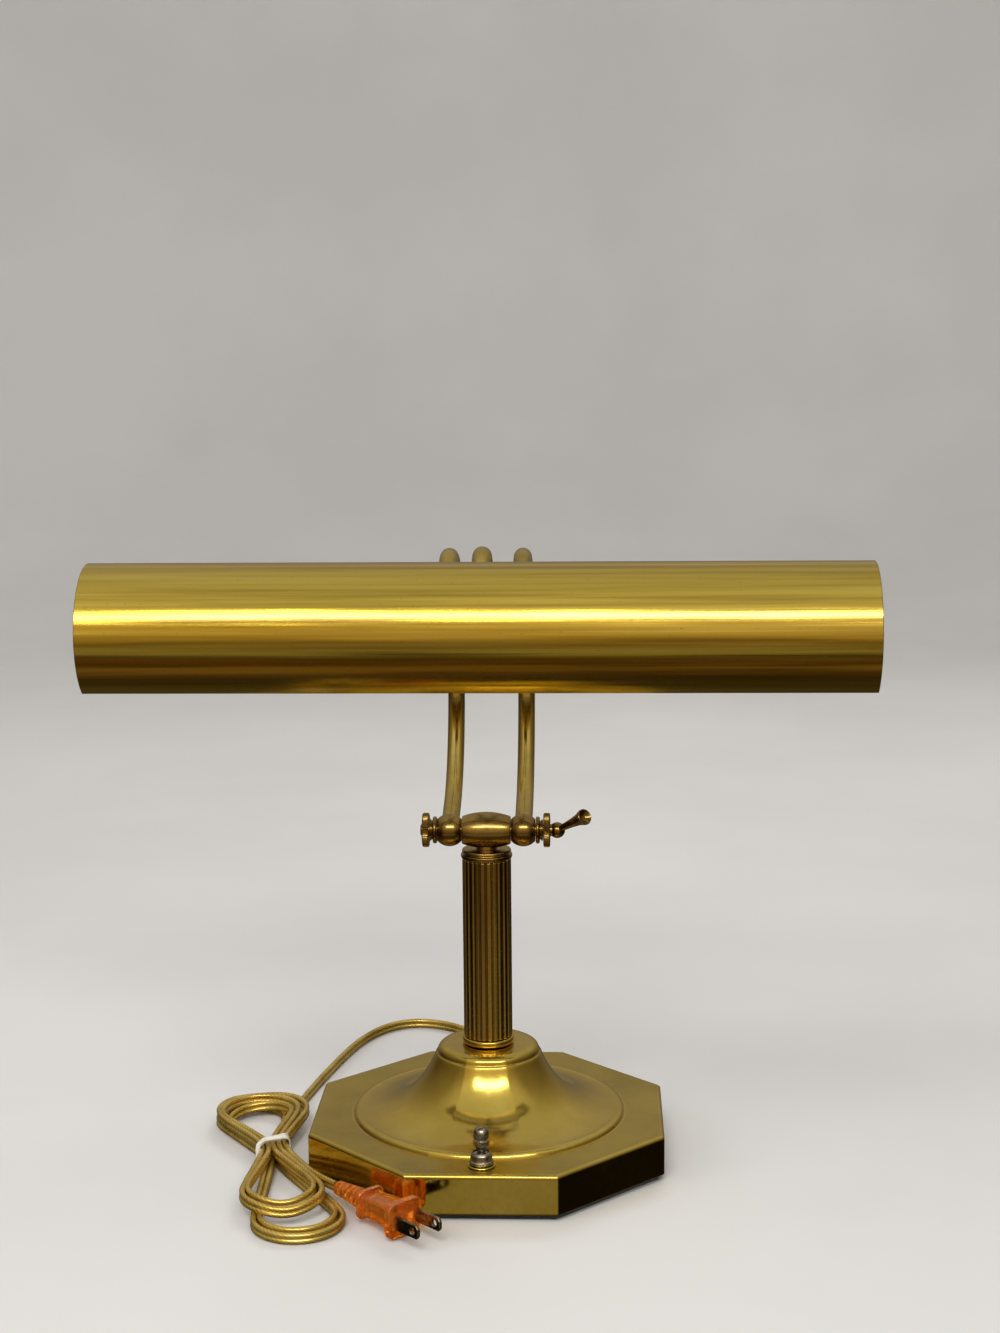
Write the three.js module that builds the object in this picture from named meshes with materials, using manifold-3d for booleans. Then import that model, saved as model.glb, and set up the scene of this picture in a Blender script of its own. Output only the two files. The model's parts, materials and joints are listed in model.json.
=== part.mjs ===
// Banker desk lamp. A weighted octagonal base with a bell-shaped centre carries a fluted column.
// Two bent arms pivot on a knuckle at the column's top, bow backward, and hold a second knuckle
// on which a brass trough shade with two tubular bulbs tilts.
// Millimetres, +Z up, +X to the lamp's right as seen from the front, front towards -Y.
// The origin is at the middle of the base's underside.

import * as THREE from 'three';
import { mergeVertices } from 'three/addons/utils/BufferGeometryUtils.js';
import Module from 'manifold-3d';

const wasm = await Module();
wasm.setup();

// ---------------------------------------------------------------- driving dimensions

const GAP = 0.3; // between pieces that touch
const deg = THREE.MathUtils.degToRad;

const base = {
	flats: 170, // across the octagon's flats
	bottom: 2.8, // the brass shell stands this far off the table, on its pad
	top: 22, // the octagon's top face
	wall: 1.2,
	edge: 1.6, // rounding of the shell's long edges
	rimRadius: 66.2, // outside of the raised circular step
	rimTop: 24.4,
	shoulderRadius: 25.4,
	shoulderTop: 52.1,
	crownRadius: 20.8,
	crownTop: 56.3,
};
const pad = { flats: 164, thick: 2.5 };
const weight = { radius: 58, bottom: 3.2, top: 15.2, recessRadius: 16, recessTop: 9.4, bore: 5.4 };

const pipe = { radius: 4.8, bore: 3.6, bottom: 3.4, top: 151 };
const clampNut = { flats: 17, bottom: 4, top: 7.4 }; // draws the pipe down on the weight
const clampWasher = { radius: 13, bottom: 7.7, top: 9.1 };
const column = { radius: 11.8, bore: 9.3, flutes: 24, fluteDepth: 0.75, ringRadius: 12.6, ringHeight: 3.2 };
column.footBottom = base.crownTop + GAP;
column.tubeBottom = column.footBottom + column.ringHeight + GAP;
column.tubeTop = 148.7;
column.capTop = 153.2;

const knuckle = {
	height: 162.3, // axis of the lower knuckle
	halfLength: 11.7,
	midRadius: 8.8,
	endRadius: 6.85,
	bore: 3.2,
	eyeRadius: 7.85,
	eyeHalfWidth: 5.75,
	armX: 17.75, // sideways place of each arm
	collarRadius: 6.7,
	collarNeck: 4.5,
	discRadius: 8.25,
	discTeeth: 16,
	discWidth: 3.2,
	boltRadius: 2.9,
};
knuckle.eyeOuter = knuckle.armX + knuckle.eyeHalfWidth;
knuckle.collarInner = knuckle.eyeOuter + GAP;
knuckle.collarOuter = knuckle.collarInner + 3.4;
knuckle.discInner = knuckle.collarOuter + GAP;
knuckle.discOuter = knuckle.discInner + knuckle.discWidth;

const lever = { length: 24, rootRadius: 1.45, rootStart: 1.8, endRadius: 3.85, hubRadius: 3.85 };
lever.hubX = knuckle.discOuter + 3.4;
lever.direction = new THREE.Vector3(0.56, -0.7, 0.44).normalize();

const arm = {
	radius: 4.25,
	bore: 3.3,
	exitAngle: deg(17), // slope at which an arm leaves the lower knuckle, backward and up
	rearY: 66, // rearmost centreline
	lowerBend: 60,
	apexZ: 292.5,
	frontBend: 20, // the tight bend above the upper knuckle
	socketDepth: 4.3, // how far from the eye's centre the tube starts
};
arm.upperBend = arm.rearY - arm.frontBend;

const pivot = { height: 267 }; // axis of the upper knuckle, above the lower one

const shade = {
	length: 355.6, // 14 in
	radius: 31.5,
	wall: 0.9,
	lipAngle: deg(52.7), // both lips stand this far below the horizontal
	forward: 48.4, // how far its axis is in front of the upper knuckle
	drop: 1.1,
	neckAngle: deg(47), // where the neck enters, above the horizontal at the back
	capThick: 0.8,
	capInset: 1,
	capFlange: 6,
};
shade.inner = shade.radius - shade.wall;

const neck = { radius: 4.5, bore: 3.2, bend: 14, start: 6.4, flangeRadius: 8, flangeThick: 1.9 };
neck.nippleRadius = 4.6;
neck.nippleBore = 3.4;

// The sockets and bulbs stand out to both sides; their places are from the shade's middle.
const socket = { radius: 17, start: 8.3, end: 42, cavity: 13.7, cavityStart: 16.2 };
const bulb = { radius: 15.9, neckRadius: 12.9, glass: 0.9, end: 156 };
bulb.cap = { radius: 13.1, start: 16.6, end: 40.3 };
bulb.neckLength = 22; // over which the glass widens
bulb.domeHeight = bulb.radius * 0.8;
const cluster = { radius: 9, halfLength: 8, stubRadius: 6.6, stubEnd: 25.4 };

const knob = { y: -73.4, radius: 3.7, spindle: 1.6, spindleEnd: 15, bottom: 29.4, top: 41 };

// The free flat cord, standing on its edge, and what is on it.
const cord = { width: 5.3, thick: 2.7, corner: 0.8, exitZ: 9, bushingEnd: 110 };
cord.lie = cord.width / 2 + 0.15;
const hank = { tieX: -104, tieY: -19, angle: deg(-75.5), bottom: 0.3, top: 13, waist: 9 };
hank.lower = { u: 76, radius: 22, wrap: deg(8.6) }; // wrap: how far past square its arc goes on
hank.upper = { u: -52, radius: 24, wrap: deg(14.3) };
hank.core = { halfWidth: 7, bottom: 2, top: 12, halfLength: 7 };
const tie = { halfLength: 5, thick: 1.5 };
const plug = { x: -68.5, y: -67.5, z: 9.2, angle: deg(-45) };
// Places along the plug's own axis, towards its blades; the tail is behind it.
Object.assign(plug, { tail: 6, start: 3, rearFlange: 24, body: 27, frontFlange: 47, face: 51 });
const blade = { height: 6.35, thick: 1.5, length: 16.5, spacing: 12.7, hole: 1.5 };

// ---------------------------------------------------------------- geometry helpers

const X_AXIS = new THREE.Vector3(1, 0, 0);
const Y_AXIS = new THREE.Vector3(0, 1, 0);
const Z_AXIS = new THREE.Vector3(0, 0, 1);

/** A body turned about Z from a Path or list of (radius, height), whose ends lie on the axis or meet. */
function turned(profile, segments = 32, divisions = 5) {
	const points = Array.isArray(profile)
		? profile.map(([r, z]) => new THREE.Vector2(r, z))
		: profile.getPoints(divisions);
	return new THREE.LatheGeometry(points, segments).rotateX(Math.PI / 2);
}

/** A plain ring, or a disc where inner is 0, from low to high on Z. */
function ring(outer, inner, low, high, segments = 32) {
	if (inner === 0) return turned([[0, low], [outer, low], [outer, high], [0, high]], segments);
	return turned([[inner, low], [outer, low], [outer, high], [inner, high], [inner, low]], segments);
}

/** Turns a body built along Z so that it lies along X. */
const alongX = (geometry) => geometry.applyMatrix4(new THREE.Matrix4().makeBasis(Y_AXIS, Z_AXIS, X_AXIS));

/** Turns a body built along Z so that it points along +Y. */
const alongY = (geometry) => geometry.rotateX(-Math.PI / 2);

/** Turns a body built along Z so that it points along a direction. */
function pointing(geometry, direction) {
	return geometry.applyQuaternion(new THREE.Quaternion().setFromUnitVectors(Z_AXIS, direction));
}

/** A flat outline raised from low to high on Z. */
function prism(shape, low, high, curveSegments = 12) {
	const options = { depth: high - low, bevelEnabled: false, curveSegments };
	return new THREE.ExtrudeGeometry(shape, options).translate(0, 0, low);
}

function octagon(flats) {
	const corners = polygon(flats / 2 / Math.cos(Math.PI / 8), 8);
	return new THREE.Shape(corners.map((p) => p.rotateAround(new THREE.Vector2(), Math.PI / 8)));
}

/** An outline whose radius swings between two values, for flutes and knurling. */
function scalloped(radius, depth, count, pointsEach, bore) {
	const total = count * pointsEach;
	const points = Array.from({ length: total }, (_, i) => {
		const a = (i / total) * 2 * Math.PI;
		const r = radius - depth * Math.abs(Math.sin((a * count) / 2));
		return new THREE.Vector2(r * Math.cos(a), r * Math.sin(a));
	});
	const shape = new THREE.Shape(points);
	shape.holes.push(new THREE.Path().absarc(0, 0, bore, 0, 2 * Math.PI, true));
	return shape;
}

function hexagon(flats, bore) {
	const shape = new THREE.Shape(polygon(flats / Math.sqrt(3), 6));
	shape.holes.push(new THREE.Path().absarc(0, 0, bore, 0, 2 * Math.PI, true));
	return shape;
}

/** A rectangle with rounded corners, centred on the origin. */
function roundedRectangle(width, height, corner) {
	const [w, h] = [width / 2, height / 2];
	return new THREE.Shape()
		.moveTo(-w + corner, -h)
		.lineTo(w - corner, -h)
		.absarc(w - corner, -h + corner, corner, -Math.PI / 2, 0)
		.lineTo(w, h - corner)
		.absarc(w - corner, h - corner, corner, 0, Math.PI / 2)
		.lineTo(-w + corner, h)
		.absarc(-w + corner, h - corner, corner, Math.PI / 2, Math.PI)
		.lineTo(-w, -h + corner)
		.absarc(-w + corner, -h + corner, corner, Math.PI, 1.5 * Math.PI);
}

/** A curve in space made from a flat Path of (y, z) at a fixed x. */
class BentInPlane extends THREE.Curve {
	constructor(path, x) {
		super();
		this.path = path;
		this.x = x;
	}
	getPoint(t, target = new THREE.Vector3()) {
		const p = this.path.getPointAt(t);
		return target.set(this.x, p.x, p.y);
	}
}

/** The corners of a regular polygon inside a circle. */
function polygon(radius, count) {
	const angles = Array.from({ length: count }, (_, i) => (i / count) * 2 * Math.PI);
	return angles.map((a) => new THREE.Vector2(radius * Math.cos(a), radius * Math.sin(a)));
}

/** A round tube along a curve, solid where bore is 0. */
function tube(curve, radius, bore, steps, sides = 10) {
	const section = new THREE.Shape(polygon(radius, sides));
	if (bore > 0) section.holes.push(new THREE.Path(polygon(bore, 6)));
	return new THREE.ExtrudeGeometry(section, { steps, extrudePath: curve });
}

/** A closed geometry as a solid that can be cut and joined. */
function solidOf(geometry) {
	const bare = geometry.clone();
	bare.deleteAttribute('normal');
	bare.deleteAttribute('uv');
	const merged = mergeVertices(bare, 1e-4);
	return new wasm.Manifold(new wasm.Mesh({
		numProp: 3,
		vertProperties: new Float32Array(merged.attributes.position.array),
		triVerts: new Uint32Array(merged.index.array),
	}));
}

function geometryOf(solid) {
	const { vertProperties, triVerts } = solid.getMesh();
	const geometry = new THREE.BufferGeometry();
	geometry.setAttribute('position', new THREE.BufferAttribute(new Float32Array(vertProperties), 3));
	geometry.setIndex(new THREE.BufferAttribute(new Uint32Array(triVerts), 1));
	geometry.computeVertexNormals();
	return geometry;
}

const cut = (body, ...tools) => geometryOf(tools.reduce((s, t) => s.subtract(solidOf(t)), solidOf(body)));
const join = (...bodies) => geometryOf(bodies.map(solidOf).reduce((a, b) => a.add(b)));

// ---------------------------------------------------------------- materials

/** Makes a function that gives each piece its own material, since pieces never share one. */
function finish(color, roughness, metalness) {
	return () => new THREE.MeshStandardMaterial({ color, roughness, metalness });
}

const polishedBrass = finish(0xc8a248, 0.22, 1);
const brushedBrass = finish(0xcfa640, 0.3, 1);
const agedBrass = finish(0x8f6a2c, 0.35, 1);
const nickel = finish(0xb9b4aa, 0.25, 1);
const steel = finish(0x8d8f92, 0.45, 1);
const castIron = finish(0x3b3b3d, 0.8, 0.6);
const felt = finish(0x1b1c1a, 0.95, 0);
const phenolic = finish(0x1c1a18, 0.5, 0);
const porcelain = finish(0xe9e4d8, 0.35, 0);
const goldVinyl = finish(0xa88a3c, 0.35, 0);
const amberVinyl = finish(0xd0661a, 0.3, 0);
const whiteRubber = finish(0xe8e3da, 0.7, 0);
const bulbGlass = finish(0xf1efe8, 0.15, 0);

/** Adds a named part to a group, at a place in that group. */
function add(group, name, geometry, makeMaterial, x = 0, y = 0, z = 0) {
	const part = new THREE.Mesh(geometry, makeMaterial());
	part.name = name;
	part.position.set(x, y, z);
	group.add(part);
	return part;
}

const sides = [['left', -1], ['right', 1]];

// ---------------------------------------------------------------- base

/** The bell's outline from the axis out, over the rim and back to the axis. */
function bellProfile(inset, bottom) {
	return new THREE.Path()
		.moveTo(0, bottom)
		.lineTo(base.rimRadius - inset * 4, bottom)
		.lineTo(base.rimRadius - inset * 4, base.top - inset)
		.bezierCurveTo(
			base.rimRadius - inset * 4, base.rimTop - inset - 0.6,
			base.rimRadius - 2 - inset * 4, base.rimTop - inset,
			62 - inset * 2, base.rimTop - inset)
		.bezierCurveTo(
			42 - inset, base.rimTop - inset,
			30.5 - inset, 38.5 - inset,
			base.shoulderRadius - inset, base.shoulderTop - inset * 0.6)
		.bezierCurveTo(
			base.shoulderRadius - 0.8 - inset, base.crownTop - 1.2 - inset,
			base.crownRadius + 2 - inset, base.crownTop - inset,
			base.crownRadius - inset, base.crownTop - inset)
		.lineTo(0, base.crownTop - inset);
}

function baseShell() {
	const height = base.top - base.bottom;
	const block = new THREE.ExtrudeGeometry(octagon(base.flats), {
		depth: height - 2 * base.edge,
		bevelSize: base.edge,
		bevelThickness: base.edge,
		bevelOffset: -base.edge,
		bevelSegments: 2,
	}).translate(0, 0, base.bottom + base.edge);
	const outside = join(block, turned(bellProfile(0, base.top - 4), 32, 5));
	const hollow = join(
		prism(octagon(base.flats - 2 * base.wall), 0, base.top - base.wall),
		turned(bellProfile(base.wall, base.top - 6), 16, 4));
	return cut(outside, hollow,
		ring(pipe.radius + GAP, 0, 40, 70, 20),
		ring(3.9, 0, 18, 26, 20).translate(0, knob.y, 0),
		alongY(ring(3.6, 0, 80, 88, 16)).translate(0, 0, cord.exitZ));
}

function makeBase() {
	const group = new THREE.Group();
	add(group, 'base_pad', prism(octagon(pad.flats), 0, pad.thick), felt);
	const slug = cut(ring(weight.radius, weight.bore, weight.bottom, weight.top, 32),
		ring(weight.recessRadius, 0, 0, weight.recessTop, 20));
	add(group, 'base_weight', slug, castIron);
	add(group, 'base_shell', baseShell(), polishedBrass);
	add(group, 'lamp_pipe', ring(pipe.radius, pipe.bore, pipe.bottom, pipe.top, 20), steel);
	const bore = pipe.radius + GAP;
	const { radius, bottom, top } = clampWasher;
	add(group, 'pipe_washer', ring(radius, bore, bottom, top, 24), steel);
	const nut = prism(hexagon(clampNut.flats, bore), clampNut.bottom, clampNut.top, 20);
	add(group, 'pipe_nut', nut, steel);
	return group;
}

// ---------------------------------------------------------------- column

function makeColumn() {
	const group = new THREE.Group();
	const { ringRadius, ringHeight } = column;
	const foot = new THREE.Path()
		.moveTo(pipe.radius + GAP, 0)
		.lineTo(ringRadius - 0.5, 0)
		.quadraticCurveTo(ringRadius + 0.5, ringHeight / 2, ringRadius - 0.5, ringHeight)
		.lineTo(pipe.radius + GAP, ringHeight)
		.closePath();
	add(group, 'column_foot_ring', turned(foot, 20, 2), polishedBrass, 0, 0, column.footBottom);
	const fluted = scalloped(column.radius, column.fluteDepth, column.flutes, 4, column.bore);
	add(group, 'column_tube', prism(fluted, column.tubeBottom, column.tubeTop, 10), agedBrass);
	const bottom = column.tubeTop + GAP;
	const capBore = pipe.radius + GAP;
	const capRadius = ringRadius - 0.2;
	const cap = turned([
		[capBore, bottom],
		[capRadius - 0.3, bottom],
		[capRadius, bottom + 0.5],
		[capRadius, bottom + 2],
		[capRadius - 1.3, bottom + 2.3],
		[capRadius - 1.3, bottom + 2.7],
		[capRadius - 0.5, bottom + 3],
		[capRadius - 0.7, column.capTop],
		[capBore, column.capTop],
		[capBore, bottom],
	], 20);
	add(group, 'column_cap', cap, agedBrass);
	return group;
}

// ---------------------------------------------------------------- knuckles

/** The olive between the arms, with a neck that stands out along +Z. */
function knuckleBarrel(neckRadius, neckEnd) {
	const { halfLength: h, midRadius: m, endRadius: e } = knuckle;
	const olive = new THREE.Path()
		.moveTo(0, -h)
		.lineTo(e - 0.6, -h)
		.lineTo(e, -h + 0.6)
		.quadraticCurveTo(2 * m - e, 0, e, h - 0.6)
		.lineTo(e - 0.6, h)
		.lineTo(0, h);
	return cut(
		join(alongX(turned(olive, 16, 4)), ring(neckRadius, 0, 2, neckEnd, 16)),
		alongX(ring(knuckle.bore, 0, -20, 20, 12)));
}

/** One arm's eye, a ball with flat sides, bored along X and bored once more for its tube. */
function armEye(direction) {
	const { eyeRadius: r, eyeHalfWidth: w } = knuckle;
	const end = Math.acos(w / r);
	const ball = new THREE.Path()
		.moveTo(0, -w)
		.lineTo(r * Math.sin(end), -w)
		.absarc(0, 0, r, -Math.PI / 2 + end, Math.PI / 2 - end)
		.lineTo(0, w);
	return cut(alongX(turned(ball, 14, 3)),
		alongX(ring(knuckle.bore, 0, -20, 20, 12)),
		pointing(ring(arm.radius + 2 * GAP, 0, arm.socketDepth - GAP, 12, 12), direction));
}

/** A collar outboard of an eye, with its thin neck towards the knurled disc at +X. */
function collar() {
	const { collarInner: a, collarOuter: b, collarRadius: r, collarNeck: n, bore } = knuckle;
	return alongX(turned([
		[bore, a], [r - 0.5, a], [r, a + 1], [r - 0.5, a + 2], [n, a + 2.1], [n, b], [bore, b], [bore, a],
	], 12));
}

function knurledDisc() {
	const outline = scalloped(knuckle.discRadius, 0.45, knuckle.discTeeth, 2, knuckle.bore);
	return alongX(prism(outline, knuckle.discInner, knuckle.discOuter, 8));
}

/** The pieces of one knuckle that turn with the arms. */
function addEyes(group, level, direction) {
	for (const [side, sign] of sides) {
		add(group, `${level}_eye_${side}`, armEye(direction), agedBrass, sign * knuckle.armX);
		const outboard = [[`${level}_collar_${side}`, collar()], [`${level}_disc_${side}`, knurledDisc()]];
		for (const [name, geometry] of outboard) {
			if (sign < 0) geometry.rotateZ(Math.PI);
			add(group, name, geometry, agedBrass);
		}
	}
}

// ---------------------------------------------------------------- arms

/** The arm's centreline as (y, z), measured from the lower knuckle's axis. */
function armPath() {
	const rise = Math.sin(arm.exitAngle);
	const run = Math.cos(arm.exitAngle);
	const turn = Math.PI / 2 - arm.exitAngle;
	const straight = (arm.rearY - arm.lowerBend * (1 - Math.cos(turn))) / run;
	const lowerCentre = straight * rise + arm.lowerBend * Math.sin(turn);
	const apex = arm.apexZ - knuckle.height;
	const start = arm.socketDepth;
	return new THREE.Path()
		.moveTo(start * run, start * rise)
		.lineTo(straight * run, straight * rise)
		.absarc(arm.rearY - arm.lowerBend, lowerCentre, arm.lowerBend, -turn, 0)
		.lineTo(arm.rearY, apex - arm.upperBend)
		.absarc(arm.frontBend, apex - arm.upperBend, arm.upperBend, 0, Math.PI / 2)
		.absarc(arm.frontBend, apex - arm.frontBend, arm.frontBend, Math.PI / 2, Math.PI)
		.lineTo(0, pivot.height - knuckle.height + arm.socketDepth);
}

function makeArms() {
	const group = new THREE.Group();
	group.position.z = knuckle.height;
	const leaving = new THREE.Vector3(0, Math.cos(arm.exitAngle), Math.sin(arm.exitAngle));
	addEyes(group, 'lower', leaving);
	for (const [side, sign] of sides) {
		const curve = new BentInPlane(armPath(), sign * knuckle.armX);
		add(group, `arm_${side}`, tube(curve, arm.radius, arm.bore, 24), polishedBrass);
	}
	const upper = new THREE.Group();
	upper.position.z = pivot.height - knuckle.height;
	group.add(upper);
	addEyes(upper, 'upper', Z_AXIS);
	const reach = knuckle.discOuter + 1;
	add(upper, 'upper_bolt', alongX(ring(knuckle.boltRadius, 0, -reach, reach, 16)), steel);
	return group;
}

// ---------------------------------------------------------------- clamp screw and its lever

function makeClamp() {
	const group = new THREE.Group();
	group.position.z = knuckle.height;
	const { boltRadius: r } = knuckle;
	const hubFrom = lever.hubX - Math.sqrt(lever.hubRadius ** 2 - r ** 2);
	const hubStart = Math.asin(r / lever.hubRadius);
	const screw = new THREE.Path()
		.moveTo(0, -knuckle.discOuter - 1)
		.lineTo(r, -knuckle.discOuter - 1)
		.lineTo(r, hubFrom)
		.absarc(0, lever.hubX, lever.hubRadius, -Math.PI / 2 + hubStart, Math.PI / 2);
	const leverHole = ring(lever.rootRadius + GAP, 0, lever.rootStart - GAP, 2 * lever.hubRadius, 12);
	pointing(leverHole, lever.direction).translate(lever.hubX, 0, 0);
	add(group, 'clamp_screw', cut(alongX(turned(screw, 14, 4)), leverHole), agedBrass);
	const handle = turned([
		[0, lever.rootStart],
		[lever.rootRadius, lever.rootStart],
		[lever.rootRadius, 5],
		[lever.rootRadius + 0.5, 12],
		[lever.endRadius - 0.9, lever.length - 4],
		[lever.endRadius, lever.length - 0.8],
		[lever.endRadius - 0.4, lever.length],
		[0, lever.length],
	], 14);
	add(group, 'clamp_lever', pointing(handle, lever.direction), agedBrass, lever.hubX);
	return group;
}

// ---------------------------------------------------------------- switch

function makeSwitch() {
	const fixed = new THREE.Group();
	fixed.position.y = knob.y;
	const bodyBox = prism(roundedRectangle(19, 13, 1.5), 6.5, 19, 3);
	add(fixed, 'switch_body', cut(bodyBox, ring(2, 0, 14.5, 22, 12)), phenolic);
	const bushing = turned([
		[2, 19.3],
		[5.6, 19.3],
		[5.6, 20.4],
		[3.5, 20.4],
		[3.5, 28.2],
		[2, 28.2],
		[2, 19.3],
	], 14);
	add(fixed, 'switch_bushing', bushing, steel);
	add(fixed, 'switch_washer', ring(6.5, 3.9, base.top + GAP, base.top + 1, 20), polishedBrass);
	const nutBottom = base.top + 1 + GAP;
	const nut = turned([
		[3.8, nutBottom],
		[5.65, nutBottom],
		[5.65, nutBottom + 1.5],
		[5.1, nutBottom + 1.9],
		[5.1, nutBottom + 2.3],
		[4.9, nutBottom + 4.6],
		[4.2, nutBottom + 5.6],
		[3.8, nutBottom + 5.6],
		[3.8, nutBottom],
	], 16);
	add(fixed, 'switch_nut', nut, nickel);

	const turning = new THREE.Group();
	turning.position.y = knob.y;
	const handle = turned([
		[0, knob.spindleEnd],
		[knob.spindle, knob.spindleEnd],
		[knob.spindle, knob.bottom],
		[2.4, knob.bottom],
		[2.5, knob.bottom + 1],
		[3.3, knob.bottom + 2.6],
		[knob.radius, knob.bottom + 3.4],
		[knob.radius, knob.bottom + 5.2],
		[knob.radius - 0.5, knob.bottom + 5.6],
		[knob.radius - 0.5, knob.bottom + 6],
		[knob.radius, knob.bottom + 6.4],
		[knob.radius, knob.top - 2.9],
		[knob.radius * 0.85, knob.top - 1.4],
		[knob.radius * 0.5, knob.top - 0.35],
		[0, knob.top],
	], 14);
	add(turning, 'switch_knob', handle, nickel);
	return [fixed, turning];
}

// ---------------------------------------------------------------- shade and what it carries

/** The trough's C-shaped outline in (y, z), open at the bottom between its two lips. */
function troughOutline(outer, inner) {
	const from = -shade.lipAngle;
	const to = Math.PI + shade.lipAngle;
	return new THREE.Shape()
		.absarc(0, 0, outer, from, to)
		.absarc(0, 0, inner, to, from, true);
}

/** A flat D that closes one end of the trough, with a flange that lies inside it. */
function endCap() {
	const radius = shade.inner - GAP;
	const plate = new THREE.Shape().absarc(0, 0, radius, -shade.lipAngle, Math.PI + shade.lipAngle);
	return alongX(join(
		prism(plate, -shade.capThick, 0, 12),
		prism(troughOutline(radius, radius - 0.8), -shade.capFlange, -shade.capThick / 2, 12)));
}

/** The neck's centreline as (y, z), measured from the upper knuckle's axis. */
function neckPath() {
	const into = new THREE.Vector2(Math.cos(shade.neckAngle), Math.sin(shade.neckAngle));
	const turn = Math.PI - shade.neckAngle;
	const bendEnd = (shade.forward - neck.bend * (1 + into.x)) / into.x;
	const endY = -shade.forward + bendEnd * into.x;
	const endZ = -shade.drop + bendEnd * into.y;
	const centreY = -neck.bend;
	const centreZ = endZ - neck.bend * Math.sin(turn);
	const last = shade.radius + GAP + neck.flangeThick + GAP;
	return new THREE.Path()
		.moveTo(0, neck.start)
		.lineTo(0, centreZ)
		.absarc(centreY, centreZ, neck.bend, 0, turn)
		.lineTo(endY - (bendEnd - last) * into.x, endZ - (bendEnd - last) * into.y);
}

function bulbGlassProfile() {
	const { radius: r, neckRadius: n, glass: t, domeHeight: dome } = bulb;
	const from = bulb.cap.end + GAP;
	const straight = from + bulb.neckLength;
	const domeStart = bulb.end - dome;
	return new THREE.Path()
		.moveTo(n, from)
		.bezierCurveTo(n, from + 8, r, from + 10, r, straight)
		.lineTo(r, domeStart)
		.absellipse(0, domeStart, r, dome, 0, Math.PI / 2)
		.lineTo(0, bulb.end - t)
		.absellipse(0, domeStart, r - t, dome - t, Math.PI / 2, 0, true)
		.lineTo(r - t, straight)
		.bezierCurveTo(r - t, from + 10, n - t, from + 8, n - t, from)
		.closePath();
}

function makeShade() {
	const group = new THREE.Group();
	group.position.z = pivot.height;
	const barrel = cut(knuckleBarrel(6.3, 10), ring(neck.radius + GAP, 0, neck.start - GAP, 14, 20));
	add(group, 'upper_knuckle_barrel', barrel, agedBrass);
	const bent = tube(new BentInPlane(neckPath(), 0), neck.radius, neck.bore, 12);
	add(group, 'neck_tube', bent, polishedBrass);

	const trough = new THREE.Group();
	trough.position.set(0, -shade.forward, -shade.drop);
	group.add(trough);
	const neckSide = new THREE.Vector3(0, Math.cos(shade.neckAngle), Math.sin(shade.neckAngle));
	const end = shade.length / 2;
	const shell = alongX(prism(troughOutline(shade.radius, shade.inner), -end, end, 24));
	const neckHole = pointing(ring(neck.nippleRadius + GAP, 0, 25, 40, 16), neckSide);
	add(trough, 'shade_shell', cut(shell, neckHole), brushedBrass);
	for (const [side, sign] of sides) {
		const cap = add(trough, `shade_end_${side}`, endCap(), brushedBrass, sign * (end - shade.capInset));
		if (sign < 0) cap.rotation.z = Math.PI;
	}

	const flange = ring(neck.flangeRadius, neck.nippleRadius + GAP, 0, neck.flangeThick, 24);
	const flangeAt = shade.radius + GAP;
	add(trough, 'neck_flange', pointing(flange.translate(0, 0, flangeAt), neckSide), polishedBrass);
	const nipple = ring(neck.nippleRadius, neck.nippleBore, 21, shade.radius + GAP + neck.flangeThick, 20);
	add(trough, 'neck_nipple', pointing(nipple, neckSide), steel);
	const locknut = prism(hexagon(14, neck.nippleRadius + GAP), 25.8, 28.8, 16);
	add(trough, 'neck_locknut', pointing(locknut, neckSide), steel);

	const centre = join(
		alongX(ring(cluster.radius, 0, -cluster.halfLength, cluster.halfLength, 24)),
		pointing(ring(cluster.stubRadius, 0, 4, cluster.stubEnd, 20), neckSide));
	const stubBore = pointing(ring(neck.nippleRadius + GAP, 0, 20.5, 30, 16), neckSide);
	add(trough, 'socket_cluster', cut(centre, stubBore), steel);

	for (const [side, sign] of sides) {
		const pieces = [
			['socket', socketCup(), porcelain],
			['bulb_cap', bulbCap(), nickel],
			['bulb_glass', turned(bulbGlassProfile(), 14, 2), bulbGlass],
		];
		for (const [kind, geometry, material] of pieces) {
			alongX(geometry);
			if (sign < 0) geometry.rotateZ(Math.PI);
			add(trough, `${kind}_${side}`, geometry, material);
		}
	}
	return group;
}

/** A socket's cup, open towards the bulb. */
function socketCup() {
	const { radius: r, start, end, cavity: c, cavityStart } = socket;
	return turned([
		[0, start],
		[r - 3, start],
		[r, start + 4],
		[r, end - 1],
		[r - 1, end],
		[c, end],
		[c, cavityStart],
		[0, cavityStart],
	], 20);
}

/** A bulb's screw cap, with the foot contact at its inner end. */
function bulbCap() {
	const { radius: r, start: a, end: b } = bulb.cap;
	return turned([[0, a], [4.5, a], [5, a + 1.5], [r - 2, a + 4], [r, a + 5.5], [r, b], [0, b]], 16);
}

// ---------------------------------------------------------------- cord, hank and plug

/** The cord's flat section, its width along the outline's x. */
function cordSection() {
	const [w, t] = [cord.width / 2, cord.thick / 2];
	const quarter = [[w, t - cord.corner], [w - cord.corner, t]];
	const mirror = [[1, 1], [-1, 1], [-1, -1], [1, -1]];
	const points = mirror.flatMap(([sx, sy]) => {
		const turnedQuarter = quarter.map(([x, y]) => new THREE.Vector2(sx * x, sy * y));
		return sx * sy > 0 ? turnedQuarter : turnedQuarter.reverse();
	});
	return new THREE.Shape(points);
}

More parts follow.
